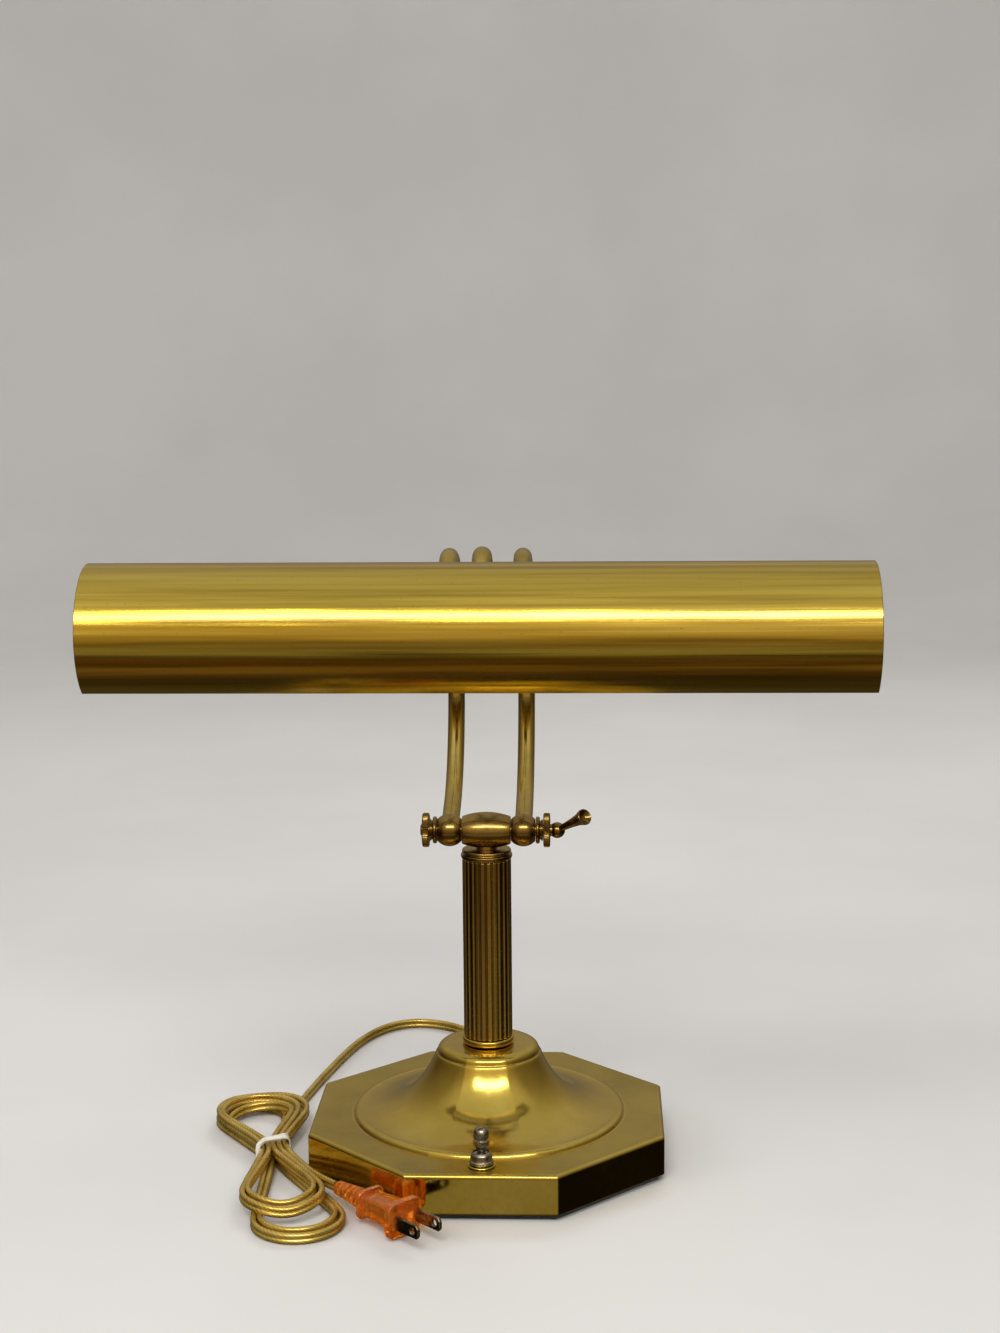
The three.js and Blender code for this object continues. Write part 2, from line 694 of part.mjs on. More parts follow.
/** The route of the cord from its bushing to the hank, lying on the table behind the base. */
const leadRoute = [
	[0, 110.3, 8.8],
	[-0.5, 121, 7.8],
	[-2, 133, 5.8],
	[-5, 146, 3.9],
	[-10, 158, 3],
	[-18, 170, cord.lie],
	[-29, 180, cord.lie],
	[-42, 187, cord.lie],
	[-54, 187.5, cord.lie],
	[-65, 181, cord.lie],
	[-74, 168, cord.lie],
	[-81, 151, cord.lie],
	[-86, 132, cord.lie],
	[-90.5, 112, cord.lie],
	[-94.5, 92, cord.lie],
	[-97.8, 74, cord.lie],
	[-100.5, 57, cord.lie],
];

/** The hank's outline in its own frame: u runs from the upper loops to the lower ones. */
function hankOutline() {
	const { lower, upper, waist } = hank;
	const square = Math.PI / 2;
	return new THREE.Shape()
		.moveTo(0, -waist)
		.absarc(lower.u, 0, lower.radius, -square - lower.wrap, square + lower.wrap)
		.lineTo(0, waist)
		.absarc(upper.u, 0, upper.radius, square - upper.wrap, 3 * square + upper.wrap)
		.closePath();
}

function makeCord() {
	const group = new THREE.Group();
	const bushing = new THREE.Path()
		.moveTo(0, 81.8)
		.lineTo(5.2, 81.8)
		.lineTo(5.2, 83.3)
		.lineTo(3.3, 83.3)
		.lineTo(3.3, 85.3)
		.lineTo(5.2, 85.3)
		.lineTo(5.2, 87.2)
		.lineTo(4.4, 88)
		.lineTo(3.5, cord.bushingEnd - 1)
		.lineTo(3, cord.bushingEnd)
		.lineTo(0, cord.bushingEnd);
	add(group, 'cord_bushing', alongY(turned(bushing, 14, 2)), goldVinyl, 0, 0, cord.exitZ);

	const route = new THREE.CatmullRomCurve3(leadRoute.map((p) => new THREE.Vector3(...p)));
	const section = { steps: 28, extrudePath: route };
	add(group, 'cord_lead', new THREE.ExtrudeGeometry(cordSection(), section), goldVinyl);

	const bundle = new THREE.Group();
	bundle.position.set(hank.tieX, hank.tieY, 0);
	bundle.rotation.z = hank.angle;
	group.add(bundle);
	const { core } = hank;
	const tieRoom = tie.halfLength + GAP;
	const loops = cut(
		prism(hankOutline(), hank.bottom, hank.top, 12),
		new THREE.BoxGeometry(2 * tieRoom, 4 * hank.waist, 4 * hank.top));
	const waist = new THREE.BoxGeometry(2 * core.halfLength, 2 * core.halfWidth, core.top - core.bottom);
	waist.translate(0, 0, (core.top + core.bottom) / 2);
	add(bundle, 'cord_hank', join(loops, waist), goldVinyl);

	const inside = 2 * (core.halfWidth + GAP);
	const insideHeight = core.top - core.bottom + 2 * GAP;
	const band = roundedRectangle(inside + 2 * tie.thick, insideHeight + 2 * tie.thick, 3);
	band.holes.push(roundedRectangle(inside, insideHeight, 0.5));
	const middle = (core.top + core.bottom) / 2;
	const wrap = alongX(prism(band, -tie.halfLength, tie.halfLength, 4));
	add(bundle, 'cord_tie', wrap, whiteRubber, 0, 0, middle);

	group.add(makePlug());
	return group;
}

function makePlug() {
	const group = new THREE.Group();
	group.position.set(plug.x, plug.y, plug.z);
	group.rotation.z = plug.angle;
	const tail = roundedRectangle(cord.thick, cord.width, cord.thick / 2 - 0.01);
	add(group, 'cord_tail', alongX(prism(tail, -plug.tail, plug.start - GAP, 2)), goldVinyl);
	const rings = 5;
	const pitch = (plug.rearFlange - plug.start) / rings;
	const relief = [[0, plug.start]];
	for (let i = 0; i < rings; i++) {
		const radius = 3.6 + 0.35 * i;
		const from = plug.start + i * pitch;
		relief.push([radius, from], [radius, from + pitch * 0.6]);
		relief.push([radius - 0.9, from + pitch * 0.65], [radius - 0.9, from + pitch]);
	}
	relief.push([0, plug.rearFlange]);
	const moulding = join(
		alongX(turned(relief, 8)),
		alongX(prism(roundedRectangle(15, 13.5, 3), plug.rearFlange - 0.2, plug.body, 3)),
		alongX(prism(roundedRectangle(13.5, 11, 2), plug.body - 0.2, plug.frontFlange + 0.2, 3)),
		alongX(prism(roundedRectangle(19.5, 16.5, 3.5), plug.frontFlange, plug.face, 3)));
	add(group, 'plug_body', moulding, amberVinyl);
	for (const [side, sign] of sides) {
		const tip = blade.length - 1.5;
		const outline = new THREE.Shape()
			.moveTo(0, -blade.height / 2)
			.lineTo(tip, -blade.height / 2)
			.lineTo(blade.length, -blade.height / 4)
			.lineTo(blade.length, blade.height / 4)
			.lineTo(tip, blade.height / 2)
			.lineTo(0, blade.height / 2)
			.closePath();
		outline.holes.push(new THREE.Path().absarc(blade.length - 4, 0, blade.hole, 0, 2 * Math.PI, true));
		const prong = prism(outline, -blade.thick / 2, blade.thick / 2, 6).rotateX(Math.PI / 2);
		add(group, `plug_blade_${side}`, prong, nickel, plug.face + GAP, (sign * blade.spacing) / 2, 0);
	}
	return group;
}

/** The flat lead inside the base, from the cord's bushing over the weight to the switch. */
function makeInnerLead() {
	const route = new THREE.CatmullRomCurve3([
		new THREE.Vector3(0, 81, cord.exitZ),
		new THREE.Vector3(1, 75, 10.5),
		new THREE.Vector3(10, 56, 18),
		new THREE.Vector3(16, 25, 18.2),
		new THREE.Vector3(16, -25, 18.2),
		new THREE.Vector3(9, -54, 17.6),
		new THREE.Vector3(5, -64.4, 14),
	]);
	const group = new THREE.Group();
	add(group, 'inner_lead', tube(route, 1.5, 0, 16, 6), goldVinyl);
	return group;
}

// ---------------------------------------------------------------- the lamp

const lamp = new THREE.Group();
const lowerBarrel = new THREE.Group();
lowerBarrel.position.z = knuckle.height;
add(lowerBarrel, 'lower_knuckle_barrel', knuckleBarrel(4.7, 11).rotateX(Math.PI), agedBrass);
lamp.add(
	makeBase(), makeColumn(), lowerBarrel, makeArms(), makeClamp(), ...makeSwitch(), makeShade(),
	makeCord(), makeInnerLead());

export default lamp;
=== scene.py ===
"""Banker desk lamp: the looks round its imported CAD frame.

Metres, +Z up, +X to the lamp's right, front towards -Y. Outlines and other shape tables are in
millimetres, measured from the piece's own origin, and stand_in() converts them.
"""

import json
import math

import bpy
from mathutils import Matrix, Vector


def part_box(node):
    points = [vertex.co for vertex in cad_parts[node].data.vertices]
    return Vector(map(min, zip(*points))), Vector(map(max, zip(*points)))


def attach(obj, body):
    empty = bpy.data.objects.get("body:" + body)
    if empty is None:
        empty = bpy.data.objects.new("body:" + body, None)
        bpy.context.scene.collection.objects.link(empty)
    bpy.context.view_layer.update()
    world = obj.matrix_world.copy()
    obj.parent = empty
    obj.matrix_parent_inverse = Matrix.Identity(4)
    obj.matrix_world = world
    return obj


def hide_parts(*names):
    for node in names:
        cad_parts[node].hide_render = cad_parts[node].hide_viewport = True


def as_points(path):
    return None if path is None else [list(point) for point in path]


MM = 0.001
TAU = 2 * math.pi

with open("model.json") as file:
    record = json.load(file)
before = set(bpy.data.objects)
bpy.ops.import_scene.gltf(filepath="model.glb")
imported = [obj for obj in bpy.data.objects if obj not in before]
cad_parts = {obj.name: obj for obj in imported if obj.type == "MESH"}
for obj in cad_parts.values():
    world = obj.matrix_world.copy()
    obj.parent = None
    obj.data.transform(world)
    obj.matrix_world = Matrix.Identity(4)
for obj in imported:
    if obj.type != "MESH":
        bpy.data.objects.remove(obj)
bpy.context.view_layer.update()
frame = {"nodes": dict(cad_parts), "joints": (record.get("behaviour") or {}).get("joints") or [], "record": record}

record = frame["record"]
BODY_OF = {node: body for body, nodes in record["behaviour"]["bodies"].items() for node in nodes}
JOINT_AT = {joint["name"]: Vector(joint["pos_m"]) for joint in frame["joints"]}
LOWER_KNUCKLE = JOINT_AT["arm_tilt"]
UPPER_KNUCKLE = JOINT_AT["shade_tilt"]
SWITCH_AXIS = JOINT_AT["switch_turn"]
SIDES = (("left", -1), ("right", 1))


# ------------------------------------------------------------------ camera, light and floor

CAMERA_LENS = 59.2
CAMERA_PLACE = (0.0527, -1.0277, 0.4088)
CAMERA_TURN = (90 - 9.21, 0.5, 2.45)  # degrees about X, Y and Z: it looks down by 9.21 degrees


def make_camera():
    data = bpy.data.cameras.new("camera")
    data.lens = CAMERA_LENS
    camera = bpy.data.objects.new("camera", data)
    camera.location = CAMERA_PLACE
    camera.rotation_euler = [math.radians(angle) for angle in CAMERA_TURN]
    bpy.context.scene.collection.objects.link(camera)
    bpy.context.scene.camera = camera


def area_light(name, place, target, size, power, colour=(1, 1, 1), mirrored=False):
    data = bpy.data.lights.new(name, "AREA")
    data.shape = "RECTANGLE"
    data.size, data.size_y = size
    data.energy = power
    data.color = colour
    light = bpy.data.objects.new(name, data)
    light.location = place
    light.visible_glossy = mirrored
    light.rotation_euler = (Vector(target) - Vector(place)).to_track_quat("-Z", "Y").to_euler()
    bpy.context.scene.collection.objects.link(light)


EVEN_LIGHT = (0.62, 0.61, 0.60, 1)
# The room that the metal mirrors, as colours at degrees above the horizontal.
ROOM_IN_FRONT = (
    (-88, (0.02, 0.015, 0.01)), (-66, (0.05, 0.03, 0.015)), (-56, (0.20, 0.12, 0.05)),
    (-48, (0.03, 0.02, 0.01)), (-39, (0.12, 0.06, 0.02)), (-32, (0.02, 0.014, 0.008)),
    (-24, (0.30, 0.27, 0.19)), (-12, (0.13, 0.09, 0.045)), (-2, (0.34, 0.24, 0.12)),
    (14, (0.54, 0.42, 0.23)), (26, (0.62, 0.50, 0.32)), (36, (0.76, 0.71, 0.58)),
    (54, (0.62, 0.60, 0.54)), (72, (0.52, 0.51, 0.47)), (90, (0.46, 0.45, 0.42)),
)
ROOM_BEHIND = (
    (-60, (0.06, 0.05, 0.03)), (-10, (0.12, 0.10, 0.06)), (10, (0.24, 0.20, 0.12)),
    (30, (0.38, 0.34, 0.24)), (60, (0.42, 0.40, 0.35)), (90, (0.46, 0.45, 0.42)),
)
ROOM_AT_SIDES = (
    (-90, (0.04, 0.03, 0.02)), (-20, (0.004, 0.003, 0.002)), (-8, (0.02, 0.015, 0.01)),
    (8, (0.12, 0.09, 0.05)), (35, (0.26, 0.23, 0.17)), (90, (0.46, 0.45, 0.42)),
)


def height_stop(angle):
    """Where a direction that many degrees above the horizontal falls on a ramp from nadir to zenith."""
    return (math.sin(math.radians(angle)) + 1) / 2


def make_world():
    """Even pale light. What the metal mirrors is a room: bright in front, dark low down and to the sides."""
    world = bpy.data.worlds.new("studio")
    world.use_nodes = True
    bpy.context.scene.world = world
    nodes = Nodes(world.node_tree)
    direction = nodes.node("SeparateXYZ", {"Vector": nodes.node("TexCoord", {}).outputs["Generated"]})
    height = nodes.band(direction.outputs["Z"], -1, 1)
    front, behind, sides = (
        nodes.ramp(height, [(height_stop(angle), colour) for angle, colour in stops])
        for stops in (ROOM_IN_FRONT, ROOM_BEHIND, ROOM_AT_SIDES))
    backward = nodes.band(direction.outputs["Y"], -0.15, 0.15)
    sideways = nodes.band(nodes.math("ABSOLUTE", direction.outputs["X"]), 0.5, 0.85)
    room = nodes.mix(sideways, nodes.mix(backward, front, behind), sides)
    mirrored_ray = nodes.node("LightPath", {}).outputs["Is Glossy Ray"]
    light = nodes.mix(mirrored_ray, EVEN_LIGHT, room)
    world.node_tree.links.new(light, world.node_tree.nodes["Background"].inputs["Color"])


def make_studio():
    make_world()
    bpy.context.scene.view_settings.view_transform = "Standard"

    area_light("key", (0.1, -1.3, 1.08), (0, 0, 0.25), (1.6, 0.24), 9.5, (1, 0.97, 0.90), mirrored=True)
    area_light("top", (-0.25, -1.0, 1.5), (0, 0, 0.05), (0.5, 0.5), 7)
    area_light("fill", (-1.5, -0.9, 1.0), (0, 0, 0.15), (1.0, 1.0), 9)
    area_light("rim", (0.3, 1.1, 1.2), (0, 0, 0.2), (0.9, 0.4), 6)

    # A pale bowl, flat in the middle, so that no horizon shows from any side.
    flat, bend, tall = 1.7, 0.8, 2.4
    vertices, faces = turned([(0, 0), *arc((flat, bend), bend, -90, 0, 16), (flat + bend, tall)], 96)
    mesh = bpy.data.meshes.new("floor")
    mesh.from_pydata(vertices, [], [tuple(reversed(face)) for face in faces])
    mesh.shade_smooth()
    floor = bpy.data.objects.new("floor", mesh)
    floor.visible_glossy = False
    bpy.context.scene.collection.objects.link(floor)
    surface = Finish("floor_paint", Roughness=0.6)
    surface.colour(surface.noise(2.5), [(0.4, (0.66, 0.65, 0.64)), (0.6, (0.70, 0.69, 0.68))])
    # The floor is clear from underneath, so that the lamp's own underside can be looked at.
    from_below = surface.node("NewGeometry", {}).outputs["Backfacing"]
    clear = surface.node("BsdfTransparent", {}).outputs["BSDF"]
    one_way = surface.node("MixShader", {0: from_below, 1: surface.shader.outputs["BSDF"], 2: clear})
    surface.tree.links.new(one_way.outputs["Shader"], surface.tree.nodes["Material Output"].inputs["Surface"])
    mesh.materials.append(surface.material)


# ------------------------------------------------------------------ materials

class Nodes:
    """Short ways of adding nodes to a material's or the world's tree."""

    def __init__(self, tree):
        self.tree = tree

    def node(self, kind, inputs, **settings):
        made = self.tree.nodes.new("ShaderNode" + kind)
        for key, value in settings.items():
            setattr(made, key, value)
        for socket, value in inputs.items():
            if isinstance(value, bpy.types.NodeSocket):
                self.tree.links.new(value, made.inputs[socket])
            else:
                made.inputs[socket].default_value = value
        return made

    def band(self, value, low, high, out_low=0, out_high=1):
        """value, mapped from low..high to out_low..out_high and kept inside them."""
        made = self.node("MapRange", {
            "Value": value, "From Min": low, "From Max": high,
            "To Min": out_low, "To Max": out_high})
        return made.outputs["Result"]

    def math(self, operation, a, b=0.0):
        return self.node("Math", {0: a, 1: b}, operation=operation).outputs[0]

    def ramp(self, value, stops):
        made = self.node("ValToRGB", {"Fac": value})
        elements = made.color_ramp.elements
        while len(elements) < len(stops):
            elements.new(0.5)
        for element, (position, colour) in zip(elements, stops):
            element.position = position
            element.color = (*colour, 1)
        return made.outputs["Color"]

    def mix(self, factor, a, b):
        made = self.node("Mix", {0: factor, 6: a, 7: b}, data_type="RGBA")
        return made.outputs[2]


class Finish(Nodes):
    """A procedural material being put together: a Principled shader and the nodes behind it."""

    def __init__(self, name, **constants):
        self.material = bpy.data.materials.new(name)
        self.material.use_nodes = True
        super().__init__(self.material.node_tree)
        self.shader = self.tree.nodes["Principled BSDF"]
        for socket, value in constants.items():
            self.shader.inputs[socket.replace("_", " ")].default_value = value
        coordinates = self.node("TexCoord", {})
        self.place = coordinates.outputs["Object"]
        self.uv = coordinates.outputs["UV"]

    def stretched(self, x, y, z):
        """The place on the surface, with each axis multiplied."""
        return self.node("Mapping", {"Vector": self.place, "Scale": (x, y, z)}).outputs["Vector"]

    def noise(self, scale, detail=4, roughness=0.55, distortion=0, at=None):
        made = self.node("TexNoise", {
            "Vector": at or self.place, "Scale": scale, "Detail": detail,
            "Roughness": roughness, "Distortion": distortion})
        return made.outputs["Fac"]

    def link(self, output, socket):
        self.tree.links.new(output, self.shader.inputs[socket])

    def colour(self, value, stops):
        self.link(self.ramp(value, stops), "Base Color")

    def bump(self, height, distance, strength=1.0):
        """Adds relief of that depth in metres on top of any there already."""
        inputs = {"Height": height, "Distance": distance, "Strength": strength}
        socket = self.shader.inputs["Normal"]
        if socket.is_linked:
            inputs["Normal"] = socket.links[0].from_socket
        self.link(self.node("Bump", inputs).outputs["Normal"], "Normal")


# The brown of tarnish and pits, also mixed in as a painted shadow on the column.
BROWN_TARNISH_AND_PAINTED_SHADOW = (0.13, 0.065, 0.016, 1)


def brass(name, dark, mid, light, gloss, tarnish=0.0, cloud_scale=(22, 22, 22),
          grain=(260, 260, 260), grain_depth=3e-6, wave=(14, 14, 14), wave_depth=2e-5, shaded=None):
    """Lacquered brass. gloss is its (lowest, highest) roughness and tarnish how far it has gone brown.

    cloud_scale, grain and wave stretch its cloudiness, its scratches and its slow undulation.
    shaded takes the finish and gives the share of brown at each place: tarnish settled in hollows, and painted
    shade.
    """
    made = Finish(name, Metallic=1, Coat_Weight=0.7, Coat_Roughness=0.16)
    cloud = made.noise(1, 6, 0.6, at=made.stretched(*cloud_scale))
    tone = made.ramp(cloud, [(0.32, dark), (0.5, mid), (0.68, light)])
    if tarnish:
        spots = made.band(made.noise(90, 8, 0.7, 0.6), 0.64 - 0.2 * tarnish, 0.78)
        tone = made.mix(made.math("MULTIPLY", spots, 0.4 + tarnish), tone, BROWN_TARNISH_AND_PAINTED_SHADOW)
    # Brown from shaded: tarnish in hollows, and painted shade.
    if shaded:
        tone = made.mix(shaded(made), tone, BROWN_TARNISH_AND_PAINTED_SHADOW)
    pits = made.band(made.noise(900, 2), 0.71, 0.75)
    made.link(made.mix(made.math("MULTIPLY", pits, 0.6), tone, BROWN_TARNISH_AND_PAINTED_SHADOW), "Base Color")
    strokes = made.noise(1, 5, 0.7, at=made.stretched(*grain))
    mixed = made.math("MULTIPLY", made.math("ADD", cloud, strokes), 0.5)
    made.link(made.band(mixed, 0.38, 0.62, *gloss), "Roughness")
    made.bump(strokes, grain_depth)
    made.bump(made.noise(1, 2, at=made.stretched(*wave)), wave_depth)
    return made.material


def clouded(name, cloud, stops, relief, depth, gloss=None, **constants):
    """A finish whose colour, and its roughness between the two in gloss, follow one noise.

    cloud and relief are noises as (scale, detail, roughness, distortion). The relief stands that
    depth in metres proud; where there is none, the cloud itself does.
    """
    made = Finish(name, **constants)
    clouds = made.noise(*cloud)
    made.colour(clouds, stops)
    if gloss:
        made.link(made.band(clouds, 0.3, 0.7, *gloss), "Roughness")
    made.bump(made.noise(*relief) if relief else clouds, depth)
    return made.material


def worn_nickel(name, dark, light):
    return clouded(
        name, (420, 6, 0.65), [(0.34, dark), (0.5, tuple(0.7 * c for c in light)), (0.68, light)],
        (1500, 3), 8e-6, gloss=(0.34, 0.16), Metallic=1)


def dark_felt():
    made = Finish("dark_felt", Roughness=0.95, Sheen_Weight=0.4, Sheen_Roughness=0.6)
    fibre = made.noise(1, 6, 0.75, at=made.stretched(1600, 1600, 700))
    made.colour(fibre, [(0.3, (0.006, 0.007, 0.006)), (0.7, (0.035, 0.038, 0.034))])
    made.bump(fibre, 3e-4)
    return made.material


def cord_vinyl():
    """Clear gold vinyl over two stranded copper conductors, seen as fine lay lines under a gloss."""
    made = Finish("cord_vinyl", Metallic=0.8, Coat_Weight=1.0, Coat_Roughness=0.07)
    split = made.node("SeparateXYZ", {"Vector": made.uv})
    along, around = split.outputs["X"], split.outputs["Y"]
    phase = made.math("ADD", made.math("MULTIPLY", along, 14.0), made.math("MULTIPLY", around, 50.0))
    strands = made.band(made.math("SINE", phase), -1, 1)
    cloud = made.noise(60, 5)
    mixed = made.math("ADD", made.math("MULTIPLY", strands, 0.2), made.math("MULTIPLY", cloud, 0.8))
    made.colour(mixed, [(0.25, (0.44, 0.26, 0.03)), (0.5, (0.76, 0.52, 0.09)), (0.75, (0.95, 0.75, 0.23))])
    made.link(made.band(cloud, 0.3, 0.7, 0.20, 0.34), "Roughness")
    made.bump(strands, 1e-5, 0.3)
    made.bump(made.noise(350, 3), 1.5e-5)
    return made.material


# ------------------------------------------------------------------ outlines, curves and meshes

def filleted(corners, steps=4):
    """An outline whose (x, y, radius) corners are rounded; a corner with no radius stays sharp."""
    points = []
    for i, (x, y, *radius) in enumerate(corners):
        here = Vector((x, y))
        if not radius or i in (0, len(corners) - 1):
            points.append(here)
            continue
        before = Vector(corners[i - 1][:2]) - here
        after = Vector(corners[i + 1][:2]) - here
        reach = min(radius[0], 0.45 * before.length, 0.45 * after.length)
        a = here + before.normalized() * reach
        b = here + after.normalized() * reach
        for k in range(steps + 1):
            t = k / steps
            points.append(a * (1 - t) ** 2 + here * 2 * t * (1 - t) + b * t ** 2)
    return points


def bezier(a, b, c, d, steps):
    """Points along a cubic curve, without its first one."""
    points = []
    for k in range(1, steps + 1):
        t = k / steps
        weights = ((1 - t) ** 3, 3 * t * (1 - t) ** 2, 3 * t * t * (1 - t), t ** 3)
        points.append(sum((Vector(p) * w for p, w in zip((a, b, c, d), weights)), Vector((0, 0))))
    return points


def polar(radius, angle):
    return Vector((radius * math.cos(angle), radius * math.sin(angle)))


def arc(centre, radius, start, end, steps):
    """Points on a circle, from one angle in degrees to another."""
    angles = [math.radians(start + (end - start) * k / steps) for k in range(steps + 1)]
    return [Vector(centre) + polar(radius, a) for a in angles]


def quarter(steps):
    """Angles from nothing to a right angle."""
    return [math.pi / 2 * k / steps for k in range(steps + 1)]


def bridge(low, high):
    """Faces between two rings of vertex numbers; a ring of one is a point on the axis."""
    count = max(len(low), len(high))
    faces = []
    for i in range(count):
        j = (i + 1) % count
        if len(low) == 1:
            faces.append((low[0], high[j], high[i]))
        elif len(high) == 1:
            faces.append((low[i], low[j], high[0]))
        else:
            faces.append((low[i], low[j], high[j], high[i]))
    return faces


def lofted(rings, closed=False, capped=False):
    """Vertices and faces of a skin through rings of points, as many in each, or one at an end."""
    vertices = [p for ring in rings for p in ring]
    numbers, start = [], 0
    for ring in rings:
        numbers.append(list(range(start, start + len(ring))))
        start += len(ring)
    faces = []
    for low, high in zip(numbers, numbers[1:] + numbers[:1] if closed else numbers[1:]):
        faces += bridge(low, high)
    if capped:
        faces += [tuple(reversed(numbers[0])), tuple(numbers[-1])]
    return vertices, faces


def turned(outline, segments=64, closed=False):
    """A body turned about Z from (radius, height) points. A closed outline has a bore."""
    rings = []
    for radius, height in outline:
        if radius < 1e-6:
            rings.append([Vector((0, 0, height))])
            continue
        rings.append([Vector((*polar(radius, TAU * i / segments), height)) for i in range(segments)])
    return lofted(rings, closed)


def knurl(depth, teeth, inside):
    """A wave for ruffled(): teeth cut that deep wherever inside(radius, height) is true."""
    def wave(angle, radius, height):
        return -depth * (0.5 - 0.5 * math.cos(angle * teeth)) if inside(radius, height) else 0
    return wave


def turned_ring(corners, segments):
    """A turned body with a bore, whose (radius, height, fillet) corners are rounded."""
    return turned(filleted(corners), segments, closed=True)


def ruffled(outline, wave, segments, closed=False):
    """A turned body whose radius is shifted by wave(angle, radius, height), for flutes and knurling."""
    vertices, faces = turned(outline, segments, closed)
    shifted = []
    for p in vertices:
        radius = math.hypot(p.x, p.y)
        if radius < 1e-6:
            shifted.append(p)
            continue
        grown = 1 + wave(math.atan2(p.y, p.x), radius, p.z) / radius
        shifted.append(Vector((p.x * grown, p.y * grown, p.z)))
    return shifted, faces


def extruded(outline, low, high, edge):
    """A flat outline raised on Z from low to high, its rims rounded to that radius."""
    def shrunk(amount):
        count = len(outline)
        ring = []
        for i, p in enumerate(outline):
            along = (outline[(i + 1) % count] - outline[i - 1]).normalized()
            ring.append(Vector((p.x - along.y * amount, p.y + along.x * amount)))
        return ring

    rings = []
    for end, sign in ((low, 1), (high, -1)):
        rim = [(edge * (1 - math.sin(a)), end + sign * edge * (1 - math.cos(a))) for a in quarter(3)]
        for amount, z in rim if sign > 0 else reversed(rim):
            rings.append([p.to_3d() + Vector((0, 0, z)) for p in shrunk(amount)])
    return lofted(rings, capped=True)


def sweep(path, section, up=Vector((0, 0, 1)), roll=lambda share: 0.0, closed=False):
    """A skin whose section of (side, up) points follows a path, capped unless the path is closed."""
    rings = []
    count = len(path)
    for i, p in enumerate(path):
        ahead = (i + 1) % count if closed else min(i + 1, count - 1)
        behind = i - 1 if closed else max(i - 1, 0)
        along = (path[ahead] - path[behind]).normalized()
        side = along.cross(up).normalized()
        rise = side.cross(along)
        turn = roll(i / count)
        c, s = math.cos(turn), math.sin(turn)
        rings.append([p + side * (x * c - y * s) + rise * (x * s + y * c) for x, y in section])
    return lofted(rings, closed=closed, capped=not closed)


def smooth_path(points, step):
    """Evenly spaced points on a smooth curve through points, then relaxed a little."""
    fineness, passes = 16, 16
    dense = []
    last = len(points) - 1
    for i in range(last):
        p0, p1, p2, p3 = (points[max(0, min(last, i + k))] for k in (-1, 0, 1, 2))
        for k in range(fineness):
            t = k / fineness
            dense.append(0.5 * (2 * p1 + (p2 - p0) * t + (2 * p0 - 5 * p1 + 4 * p2 - p3) * t * t
                                + (3 * p1 - p0 - 3 * p2 + p3) * t ** 3))
    dense.append(points[-1])
    total = path_length(dense)
    count = max(2, round(total / step))
    even, reached, target = [dense[0]], 0.0, total / count
    for a, b in zip(dense, dense[1:]):
        piece = (b - a).length
        while piece and reached + piece >= target * len(even) and len(even) < count:
            even.append(a.lerp(b, (target * len(even) - reached) / piece))
        reached += piece
    even.append(dense[-1])
    for _ in range(passes):
        inner = [b * 0.5 + (a + c) * 0.25 for a, b, c in zip(even, even[1:], even[2:])]
        even = [even[0], *inner, even[-1]]
    return even


def path_length(points):
    return sum((b - a).length for a, b in zip(points, points[1:]))


def joined(*meshes):
    """Several (vertices, faces) as one."""
    vertices, faces = [], []
    for more, their_faces in meshes:
        start = len(vertices)
        vertices += more
        faces += [tuple(start + i for i in face) for face in their_faces]
    return vertices, faces


def moved(mesh, matrix):
    vertices, faces = mesh
    return [matrix @ p for p in vertices], faces


def along_x(mesh):
    """Turns a body built along Z so that it lies along X."""
    return moved(mesh, Matrix(((0, 0, 1), (1, 0, 0), (0, 1, 0))))


def pointing(mesh, direction):
    """Turns a body built along Z so that it points along a direction."""
    return moved(mesh, Vector(direction).to_track_quat("Z", "Y").to_matrix())


def mirrored(mesh, sign):
    """The mesh itself, or for a sign of -1 the same mesh the other way round in X."""
    if sign > 0:
        return mesh
    vertices, faces = mesh
    return [Vector((-p.x, p.y, p.z)) for p in vertices], [tuple(reversed(face)) for face in faces]


def millimetres(mesh, at):
    """A mesh in millimetres as one in metres, moved to a place in metres."""
    vertices, faces = mesh
    return [p * MM + Vector(at) for p in vertices], faces


def build_object(name, mesh, materials, pick=None, sharp=38, uv=None):
    """A smooth-shaded object in metres. pick gives each face's material from its middle."""
    vertices, faces = mesh
    data = bpy.data.meshes.new(name)
    data.from_pydata(vertices, [], faces)
    data.update()
    for material in materials:
        data.materials.append(material)
    if pick:
        for polygon in data.polygons:
            polygon.material_index = pick(polygon)
    data.shade_smooth()
    data.set_sharp_from_angle(angle=math.radians(sharp))
    if uv:
        layer = data.uv_layers.new(name="along")
        for polygon in data.polygons:
            corners = [uv(data.loops[i].vertex_index) for i in polygon.loop_indices]
            seam = max(v for _, v in corners) - min(v for _, v in corners) > 0.5
            for i, (u, v) in zip(polygon.loop_indices, corners):
                layer.data[i].uv = (u, v + 1 if seam and v < 0.5 else v)
    made = bpy.data.objects.new(name, data)
    bpy.context.scene.collection.objects.link(made)
    weighted = made.modifiers.new("even_normals", "WEIGHTED_NORMAL")
    weighted.keep_sharp = True
    return made


def stand_in(node, mesh, at, *materials, **options):
    """A detailed piece that stands for one CAD node, on its body and in the materials given.

    Its mesh is in millimetres from its own origin, which lies at that place in metres.
    """
    made = build_object("lamp_" + node, millimetres(mesh, at), materials, **options)
    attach(made, BODY_OF[node])
    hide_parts(node)
    return made


def middle(node):
    low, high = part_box(node)
    return (low + high) / 2


# ------------------------------------------------------------------ cord, tie and plug

CORD_WIDTH = 5.3 * MM
CORD_THICK = 2.7 * MM
CORD_STEP = 0.002  # between the rings of its skin

